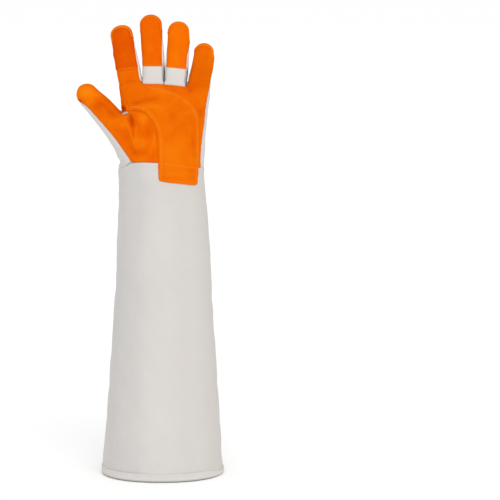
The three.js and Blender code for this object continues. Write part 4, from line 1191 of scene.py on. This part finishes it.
# painted shadow on the palm leather under the pads' raised edges
under_pad_shadow = 0.75 * np.exp(-((reach["pad"] / 0.9) ** 2))
cap_side = np.zeros(len(v), bool)
cap_side[np.unique(tri[np.isin(lab, [CODE[k] for k in PANELS if is_cap(k)])])] = True
for name, (members, material, slot) in GROUPS.items():
    t = tri[np.isin(lab, [CODE[m] for m in members])]
    up, rim = overlap(name, reach)
    # caps paler near the fingertip seam: partly the cap's own lighter edge, partly painted sheen where the suede turns
    # from view
    pale_cap_and_sheen = {"index_tip": 0.8, "middle_tip": 0.3, "ring_tip": 0.35}.get(name, 0.55)
    rim = np.maximum(rim, pale_cap_and_sheen * cap_side * np.exp(-((np.maximum(reach["tip"] - 1.8, 0) / 2.2) ** 2)))
    outer = v + nrm * (moved + up)[:, None]
    inner = v + nrm * (common - LEATHER)[:, None]
    verts, faces, used, edge = close_up(outer, inner, t)
    grab = lambda a: np.concatenate([a[used], a[used], a[used][edge]])
    o = make_mesh(name + "_leather", verts, faces, material,
                  {"seam": grab(np.maximum(seam_dark, under_pad_shadow) if name == "palm_base" else seam_dark),
                   "rim": grab(rim), "tone": grab(tone), "deep": grab(slit_and_crotch_shade if name == "palm_base" else deep)})
    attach(o, "root")
    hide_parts(name)

# ------------------------------------------------------------------ the patch on the palm, with its tab over the wrist
t = tri[in_patch & (nrm[tri].mean(1)[:, 1] < 0.2)]
lift = patch_lift(v, reach["wrist"])
verts, faces, used, edge = close_up(v + nrm * (common + lift)[:, None], v + nrm * (common + 0.12)[:, None], t)
grab = lambda a: np.concatenate([a[used], a[used], a[used][edge]])
e = patch_edge(v)
line = stitch_line(v)
on_arc = line_distance(v[:, 0], v[:, 2], arc) < e + 0.3
# paler patch edge, stitch line and tab: partly the leather's own paler cut edge, partly painted highlight on the raised
# edge
rim = np.where(on_arc, 0.0, 0.75) * np.exp(-((e / 1.0) ** 2)) * (0.35 + 0.65 * smooth01((v[:, 2] - 450) / 30) + 0.65 * smooth01((402 - v[:, 2]) / 8))
rim = np.maximum(rim, np.where(on_arc, 0.6, 0.4) * np.exp(-((line / 0.9) ** 2)))
rim = np.maximum(rim, 0.45 * np.exp(-((reach["wrist"] / 1.0) ** 2)))
rim *= np.where(on_arc | (v[:, 2] < 440), smooth01((v[:, 0] + 44) / 12), smooth01((v[:, 0] + 22) / 16))
# painted shadow beside the patch's raised edge, weak round the thumb and stronger low on the right
low_right = (v[:, 0] > 35) * smooth01((v[:, 2] - 401) / 6) * smooth01((474 - v[:, 2]) / 20)
patch_edge_shadow = np.where(on_arc, 0.18, 0.3 + 0.4 * low_right) * np.exp(-((e / 0.8) ** 2)) * (1 - rim)
patch = make_mesh("palm_patch_leather", verts, faces, ORANGE["patch"], {"seam": grab(patch_edge_shadow), "rim": grab(rim), "tone": grab(tone), "deep": grab(slit_and_crotch_shade)})
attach(patch, "root")
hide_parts("palm_patch")

# ------------------------------------------------------------------ the sleeve
AROUND = 232


def even_angles(count, e=2.15, ratio=0.72):
    a = np.linspace(0, 2 * math.pi, 6001)
    c, s = np.cos(a), np.sin(a)
    p = np.stack([np.sign(c) * np.abs(c) ** (2 / e), ratio * np.sign(s) * np.abs(s) ** (2 / e)], 1)
    run = np.concatenate([[0], np.cumsum(np.linalg.norm(np.diff(p, axis=0), axis=1))])
    return np.interp(np.linspace(0, run[-1], count, endpoint=False), run, a)


def sleeve_at(angle, z, grow=0.0):
    e = round_e(z)
    c, s = np.cos(angle), np.sin(angle)
    u, w = np.sign(c) * np.abs(c) ** (2 / e), np.sign(s) * np.abs(s) ** (2 / e)
    xl, xr = edge_l(z), edge_r(z)
    x = (xl + xr) / 2 + ((xr - xl) / 2 + grow) * u
    y = w * (np.where(w < 0, deep_f(z), deep_b(z)) + grow)
    return np.stack([x, y, z + 0 * x], -1)


def sleeve_normal(angle, z):
    d = 1e-3
    a = sleeve_at(angle + d, z) - sleeve_at(angle - d, z)
    b = sleeve_at(angle, z + 0.5) - sleeve_at(angle, z - 0.5)
    n = np.cross(a, b)
    return n / np.linalg.norm(n, axis=-1, keepdims=True)


SEAM_ANGLE = math.radians(160.0)


def sleeve_top(angle):
    x = sleeve_at(angle, np.full(angle.shape, 405.0))[..., 0]
    return np.where(np.sin(angle) < 0, wrist_front(x), wrist_back(x))


def hem_height(angle):
    """The hem is folded narrower towards the little finger's side."""
    return 1 - 0.38 * smooth01((np.cos(angle) - 0.70) / 0.28)


def sleeve_skin(angle, z):
    """Points and normals on the sleeve's face, with how near its top edge and its long seam are."""
    base, n = sleeve_at(angle, z).reshape(-1, 3), sleeve_normal(angle, z).reshape(-1, 3)
    below = (sleeve_top(angle) - z).ravel()
    d = relief(base, n)
    d += groove(below, 0.9, 1.2, 0.3) * (1 - 0.5 * smooth01((base[:, 1] - 2) / 10)) * (1 - 0.45 * smooth01((-36 - base[:, 0]) / 6))
    d += 0.18 * wave_pucker(base) * np.exp(-((below / 4.5) ** 2))
    d -= 0.16 * np.exp(-(((below - 2.6) / 0.7) ** 2))
    side = np.abs(((angle.ravel() - SEAM_ANGLE + math.pi) % (2 * math.pi)) - math.pi) * 62.0
    d += groove(side, 0.9, 1.3, 0.35) + 0.18 * wave_pucker(base) * np.exp(-((side / 4.5) ** 2))
    d *= smooth01((base[:, 2] - 6) / 12) * 0.8 + 0.2
    return base, n, d, below, side


ang = even_angles(AROUND) + 0.0007
top = sleeve_top(ang)
steps = np.concatenate([np.linspace(0, 0.955, 150), 1 - np.array([0.0395, 0.034, 0.029, 0.0245, 0.0205, 0.017, 0.0138, 0.0108, 0.0082, 0.0058, 0.0036, 0.0016, 0.0])])
start = 9.4 * hem_height(ang)
zz = start[None, :] + (top - start)[None, :] * steps[:, None]
aa = np.repeat(ang[None, :], len(steps), 0)
base, bn, d, below, long_seam = sleeve_skin(aa, zz)
outer = base + bn * d[:, None]
inner = base + bn * (np.minimum(d, 0.5) - 1.9)[:, None]
rows, cols = zz.shape
idx = np.arange(rows * cols).reshape(rows, cols)
nx = np.roll(idx, -1, axis=1)
q = np.stack([idx[:-1], nx[:-1], nx[1:], idx[1:]], -1).reshape(-1, 4)
n0 = rows * cols
low, high = idx[0], idx[-1]
walls = np.vstack([
    np.stack([np.roll(low, -1), low, low + n0, np.roll(low, -1) + n0], 1),
    np.stack([high, np.roll(high, -1), np.roll(high, -1) + n0, high + n0], 1),
])
faces = np.vstack([q, q[:, ::-1] + n0, walls])
# darker along the wrist seam and the long seam: partly the joints' own darker line, partly painted shade in their
# crevices
seam = np.maximum(0.8 * np.exp(-((below * 1.6 / 0.9) ** 2)), 0.7 * np.exp(-((long_seam / 0.9) ** 2))) * quiet(base)
seam *= 1 - 0.4 * smooth01((-36 - base[:, 0]) / 6) * smooth01((6 - below) / 3)
# paler band just below the wrist seam: partly the leather's own paler edge, partly painted highlight on the leather
# raised beside the seam
rimv = 0.7 * np.exp(-(((below - 1.5) / 0.9) ** 2))
across = (base[:, 0] - edge_l(base[:, 2])) / (edge_r(base[:, 2]) - edge_l(base[:, 2])) + 0.012 * wave_wide(base)
facing = smooth01((0.25 - bn[:, 1]) / 0.5)
# painted shade on the sleeve's front where it turns from the light: darker and cooler over the left third (shade),
# darker and warmer towards the right edge (warm)
shade = tones(base, bn) - 0.42 * smooth01((0.45 - across) / 0.24) * smooth01(across / 0.12 + 0.45) * facing
warm = (0.30 * smooth01((across - 0.5) / 0.22) + 0.35 * smooth01((across - 0.78) / 0.2)) * facing
sleeve = make_mesh("cuff_body_leather", np.vstack([outer, inner]), faces, LIGHT,
                   {"seam": np.tile(seam, 2), "rim": np.tile(rimv, 2), "tone": np.tile(shade, 2), "warm": np.tile(warm, 2)})
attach(sleeve, "root")
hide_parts("cuff_body")

# ------------------------------------------------------------------ the folded hem
PROFILE = [[0.10, 9.3], [0.14, 11.0], [0.24, 11.3], [0.42, 11.4], [0.60, 11.2], [0.70, 10.7], [0.72, 9.9], [0.66, 9.2], [0.68, 8.8],
           [0.76, 8.0], [0.88, 6.6], [1.00, 5.2], [1.02, 3.6], [0.74, 2.0], [0.25, 0.8], [-0.35, 0.15], [-0.75, 0.0], [-1.0, 0.0], [-1.9, 0.0],
           [-2.6, 0.35], [-3.05, 1.2], [-3.2, 3.0], [-3.2, 7.0], [-3.15, 11.0], [-2.9, 12.2], [-2.45, 12.4], [-2.1, 12.1], [-2.02, 10.8], [-2.0, 9.3]]
PROFILE = np.array(PROFILE)


def hem_skin(angle, z, off):
    base = sleeve_at(angle, np.maximum(z, 0.0)).reshape(-1, 3)
    n = sleeve_normal(angle, np.maximum(z, 0.6)).reshape(-1, 3)
    n[:, 2] = 0
    n = unit(n)
    uneven = (0.12 * wave_pucker(base) + 0.10 * wave_mid(base)) * smooth01((base[:, 2] - 1.5) / 6)
    out = base + n * (off + uneven * (off > 0))[:, None]
    out[:, 2] = np.maximum(out[:, 2], 0)
    return out, n


ha = even_angles(AROUND + 40) + 0.0007
zz = PROFILE[:, 1][:, None] * hem_height(ha)[None, :]
aa = np.repeat(ha[None, :], len(PROFILE), 0)
off = np.repeat(PROFILE[:, 0][:, None], len(ha), 1).ravel()
hv, _ = hem_skin(aa, zz, off)
rows, cols = zz.shape
idx = np.arange(rows * cols).reshape(rows, cols)
nxt = np.roll(idx, -1, axis=1)
up = np.roll(idx, -1, axis=0)
upn = np.roll(nxt, -1, axis=0)
q = np.stack([idx, up, upn, nxt], -1).reshape(-1, 4)
# paler band round the hem's outer bulge: partly the leather's own colour, partly painted highlight on the rounded fold
rimv = np.repeat(np.exp(-(((PROFILE[:, 1] - 3.5) / 3.0) ** 2))[:, None] * (PROFILE[:, 0] > 0)[:, None], cols, 1).ravel() * 0.35
line = np.repeat(np.exp(-(((PROFILE[:, 1] - 9.0) / 0.5) ** 2))[:, None] * (PROFILE[:, 0] > 0)[:, None], cols, 1).ravel() * 0.12
line *= 0.35 + 0.65 * smooth01((-10 - hv[:, 0]) / 40)
# painted contact shadow along the hem's foot, where it stands on the floor
contact_shadow = np.repeat(smooth01((2.6 - PROFILE[:, 1]) / 1.4)[:, None], cols, 1).ravel()
hem = make_mesh("cuff_hem_leather", hv, q, LIGHT, {"seam": line, "rim": rimv, "deep": contact_shadow})
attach(hem, "root")
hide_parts("cuff_hem")


# ------------------------------------------------------------------ stitches
def dense(path, step=0.5):
    path = np.asarray(path, float)
    run = np.concatenate([[0], np.cumsum(np.linalg.norm(np.diff(path, axis=0), axis=1))])
    s = np.linspace(0, run[-1], max(2, int(run[-1] / step) + 1))
    return np.stack([np.interp(s, run, path[:, k]) for k in range(path.shape[1])], 1)


def beside(path, off):
    """The path moved sideways by off, to its right hand side."""
    path = dense(path, 1.0)
    t = unit(np.gradient(path, axis=0))
    return path + np.stack([t[:, 1], -t[:, 0]], 1) * off


def onto_hand(path, side, extra):
    """Points of a path in x and z laid on the hand's leather, palm side -1 or back 1, with their normals."""
    path = dense(path)
    ys = np.linspace(side * 60.0, 0, 61)
    lo, hi, found = np.zeros(len(path)), np.zeros(len(path)), np.zeros(len(path), bool)
    at = lambda y: np.stack([path[:, 0], y, path[:, 1]], 1)
    for k in range(1, 61):
        new = (form(at(np.full(len(path), ys[k]))) < 0) & ~found
        lo[new], hi[new] = ys[k - 1], ys[k]
        found |= new
    for _ in range(12):
        mid = (lo + hi) / 2
        inside = form(at(mid)) < 0
        lo, hi = np.where(inside, lo, mid), np.where(inside, mid, hi)
    p = at((lo + hi) / 2)[found]
    n = unit(slope(p))
    r = seam_distances(p, n)
    return p + n * (relief(p, n) + extra(p, r))[:, None], n


def stitches(points, normals, length=2.6, pitch=3.4, thick=0.62, sink=0.06):
    """A row of thread stitches along points on the leather."""
    run = np.concatenate([[0], np.cumsum(np.linalg.norm(np.diff(points, axis=0), axis=1))])
    count = int((run[-1] - length) / pitch) + 1
    if count < 1:
        return []
    start = (run[-1] - (count - 1) * pitch - length) / 2
    get = lambda a, s: np.array([np.interp(s, run, a[:, k]) for k in range(3)])
    out = []
    r = thick / 2
    along = np.array([-0.86, -0.45, 0.0, 0.45, 0.86])
    size = np.array([0.62, 0.95, 1.0, 0.95, 0.62])
    turn = np.linspace(0, 2 * math.pi, 8, endpoint=False)
    for i in range(count):
        s = start + i * pitch
        a, b, mid = get(points, s), get(points, s + length), get(points, s + length / 2)
        t = (b - a) / max(np.linalg.norm(b - a), 1e-6)
        n = get(normals, s + length / 2)
        n = n - t * (n @ t)
        n /= np.linalg.norm(n)
        w = np.cross(n, t)
        centre = (a + b) / 4 + mid / 2 + n * (r - sink - 0.12)
        rings = [centre + t * length / 2 * u - n * 0.30 * u * u + r * k * (np.cos(turn)[:, None] * w + np.sin(turn)[:, None] * n) for u, k in zip(along, size)]
        ends = [centre - t * length / 2 - n * 0.42, centre + t * length / 2 - n * 0.42]
        out.append(np.vstack([ends[0][None], *rings, ends[1][None]]))
    return out


def stitch_faces():
    f = []
    for j in range(8):
        k = (j + 1) % 8
        f.append((0, 1 + k, 1 + j))
        for r in range(4):
            a, b = 1 + 8 * r, 9 + 8 * r
            f += [(a + j, a + k, b + k), (a + j, b + k, b + j)]
        f.append((41, 33 + j, 33 + k))
    return np.array(f)


ONE = stitch_faces()


def sew(name, rows, material):
    made = [s for row in rows for s in row]
    verts = np.vstack(made)
    faces = np.vstack([ONE + 42 * i for i in range(len(made))])
    o = make_mesh(name, verts, faces, material, sharp=None)
    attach(o, "root")


on_patch = lambda p, r: patch_lift(p, r["wrist"])
PATCH_TOP, PATCH_TAB = rounded(LINE["patch_top"]), rounded(LINE["patch_tab"])
rows = []
top_row = beside(PATCH_TOP[PATCH_TOP[:, 0] > -19], STITCH_IN)
tab_row = beside(PATCH_TAB, STITCH_IN)
arc_row = beside(arc[::-1], STITCH_ARC)
arc_row = arc_row[(arc_row[:, 0] > -41) & (arc_row[:, 1] > 398)]
tab_row = tab_row[(tab_row[:, 1] < 400) | (tab_row[:, 0] > 20)]
rows.append(stitches(*onto_hand(np.vstack([top_row, tab_row, arc_row]), -1, on_patch)))
x = np.linspace(3.0, 43.5, 60)
rows.append(stitches(*onto_hand(np.stack([x, wrist_front(x) - 0.2], 1), -1, on_patch)))
sew("palm_patch_stitching", rows, THREAD_ORANGE)

rows = []
for name, lo, hi in (("index", -53.4, -29.5), ("middle", -20.0, 1.6), ("ring", 10.4, 32.0)):
    x = np.linspace(lo, hi, 40)
    lay = lambda p, r: seam_depth(p, r) + overlap("index_tip", r)[0]
    rows.append(stitches(*onto_hand(np.stack([x, pad_edge[name](x) + 2.1], 1), -1, lay)))
sew("finger_pad_stitching", rows, THREAD_ORANGE)

rows = []
for name, lo, hi in (("index", -60.5, -29.5), ("middle", -22.8, 0.8), ("ring", 12.4, 36.0), ("little", 46.8, 69.0)):
    line = beside([[x, cap_edge[name](x)] for x in np.linspace(lo, hi, 60)], -2.0)
    lay = lambda p, r: seam_depth(p, r) + overlap("index_tip", r)[0]
    rows.append(stitches(*onto_hand(line, 1, lay)))
sew("fingertip_cap_stitching", rows, THREAD_ORANGE)

a = np.radians(np.arange(-28.0, 266.5, 0.4))  # all round but for the tab
base, n, d, _, _ = sleeve_skin(a, sleeve_top(a) - 2.6)
sew("wrist_stitching", [stitches(base + n * d[:, None], n)], THREAD_LIGHT)

a = np.radians(np.arange(0, 360.2, 0.4))
hp, hn = hem_skin(a, 9.0 * hem_height(a), np.full(len(a), 0.72))
sew("hem_stitching", [stitches(hp, hn)], THREAD_LIGHT)


# ------------------------------------------------------------------ room, light, camera
def room():
    me = bpy.data.meshes.new("floor")
    n, far_ = 24, 28.0
    xs = np.concatenate([-np.geomspace(far_, 0.4, n), np.geomspace(0.4, far_, n)])
    verts = [(x, y, 0.0) for x in xs for y in xs]
    k = len(xs)
    me.from_pydata(verts, [], [(i * k + j, (i + 1) * k + j, (i + 1) * k + j + 1, i * k + j + 1) for i in range(k - 1) for j in range(k - 1)])
    m = Nodes("pale_floor")
    soft = m.noise(3.0, 2)
    m.put(m.bsdf.inputs["Base Color"], m.mix(m.math("MULTIPLY", soft, 0.2), (0.97, 0.97, 0.97), (0.965, 0.965, 0.965)))
    m.bsdf.inputs["Emission Color"].default_value = (1.0, 1.0, 1.0, 1.0)
    m.bsdf.inputs["Emission Strength"].default_value = 0.075
    m.bsdf.inputs["Roughness"].default_value = 0.95
    m.bsdf.inputs["Specular IOR Level"].default_value = 0.0
    me.materials.append(m.mat)
    o = bpy.data.objects.new("floor", me)
    bpy.context.scene.collection.objects.link(o)


room()
world = bpy.data.worlds.new("studio")
bpy.context.scene.world = world
world.use_nodes = True
tree = world.node_tree
background = tree.nodes["Background"]
background.inputs["Color"].default_value = (0.985, 0.995, 1.0, 1)
background.inputs["Strength"].default_value = 0.86
# the backdrop itself is plain white
white = tree.nodes.new("ShaderNodeBackground")
white.inputs["Color"].default_value = (1, 1, 1, 1)
white.inputs["Strength"].default_value = 0.995
either = tree.nodes.new("ShaderNodeMixShader")
path = tree.nodes.new("ShaderNodeLightPath")
tree.links.new(path.outputs["Is Camera Ray"], either.inputs[0])
tree.links.new(background.outputs[0], either.inputs[1])
tree.links.new(white.outputs[0], either.inputs[2])
tree.links.new(either.outputs[0], tree.nodes["World Output"].inputs["Surface"])

sun = bpy.data.lights.new("softbox", "SUN")
sun.energy, sun.angle = 0.93, math.radians(60)
sun.color = (1.0, 0.965, 0.925)
lamp = bpy.data.objects.new("softbox", sun)
lamp.rotation_euler = Vector((0.24, -0.85, 0.56)).to_track_quat("Z", "Y").to_euler()
bpy.context.scene.collection.objects.link(lamp)

scene = bpy.context.scene
scene.view_settings.view_transform = "Standard"
cam_data = bpy.data.cameras.new("camera")
cam_data.lens, cam_data.sensor_width = 132.92, 36.0
cam_data.clip_end = 60.0
cam = bpy.data.objects.new("camera", cam_data)
cam.location = (0.1286, -2.3766, 0.6291)
cam.rotation_euler = (math.radians(82.0), 0, 0)
scene.collection.objects.link(cam)
scene.camera = cam
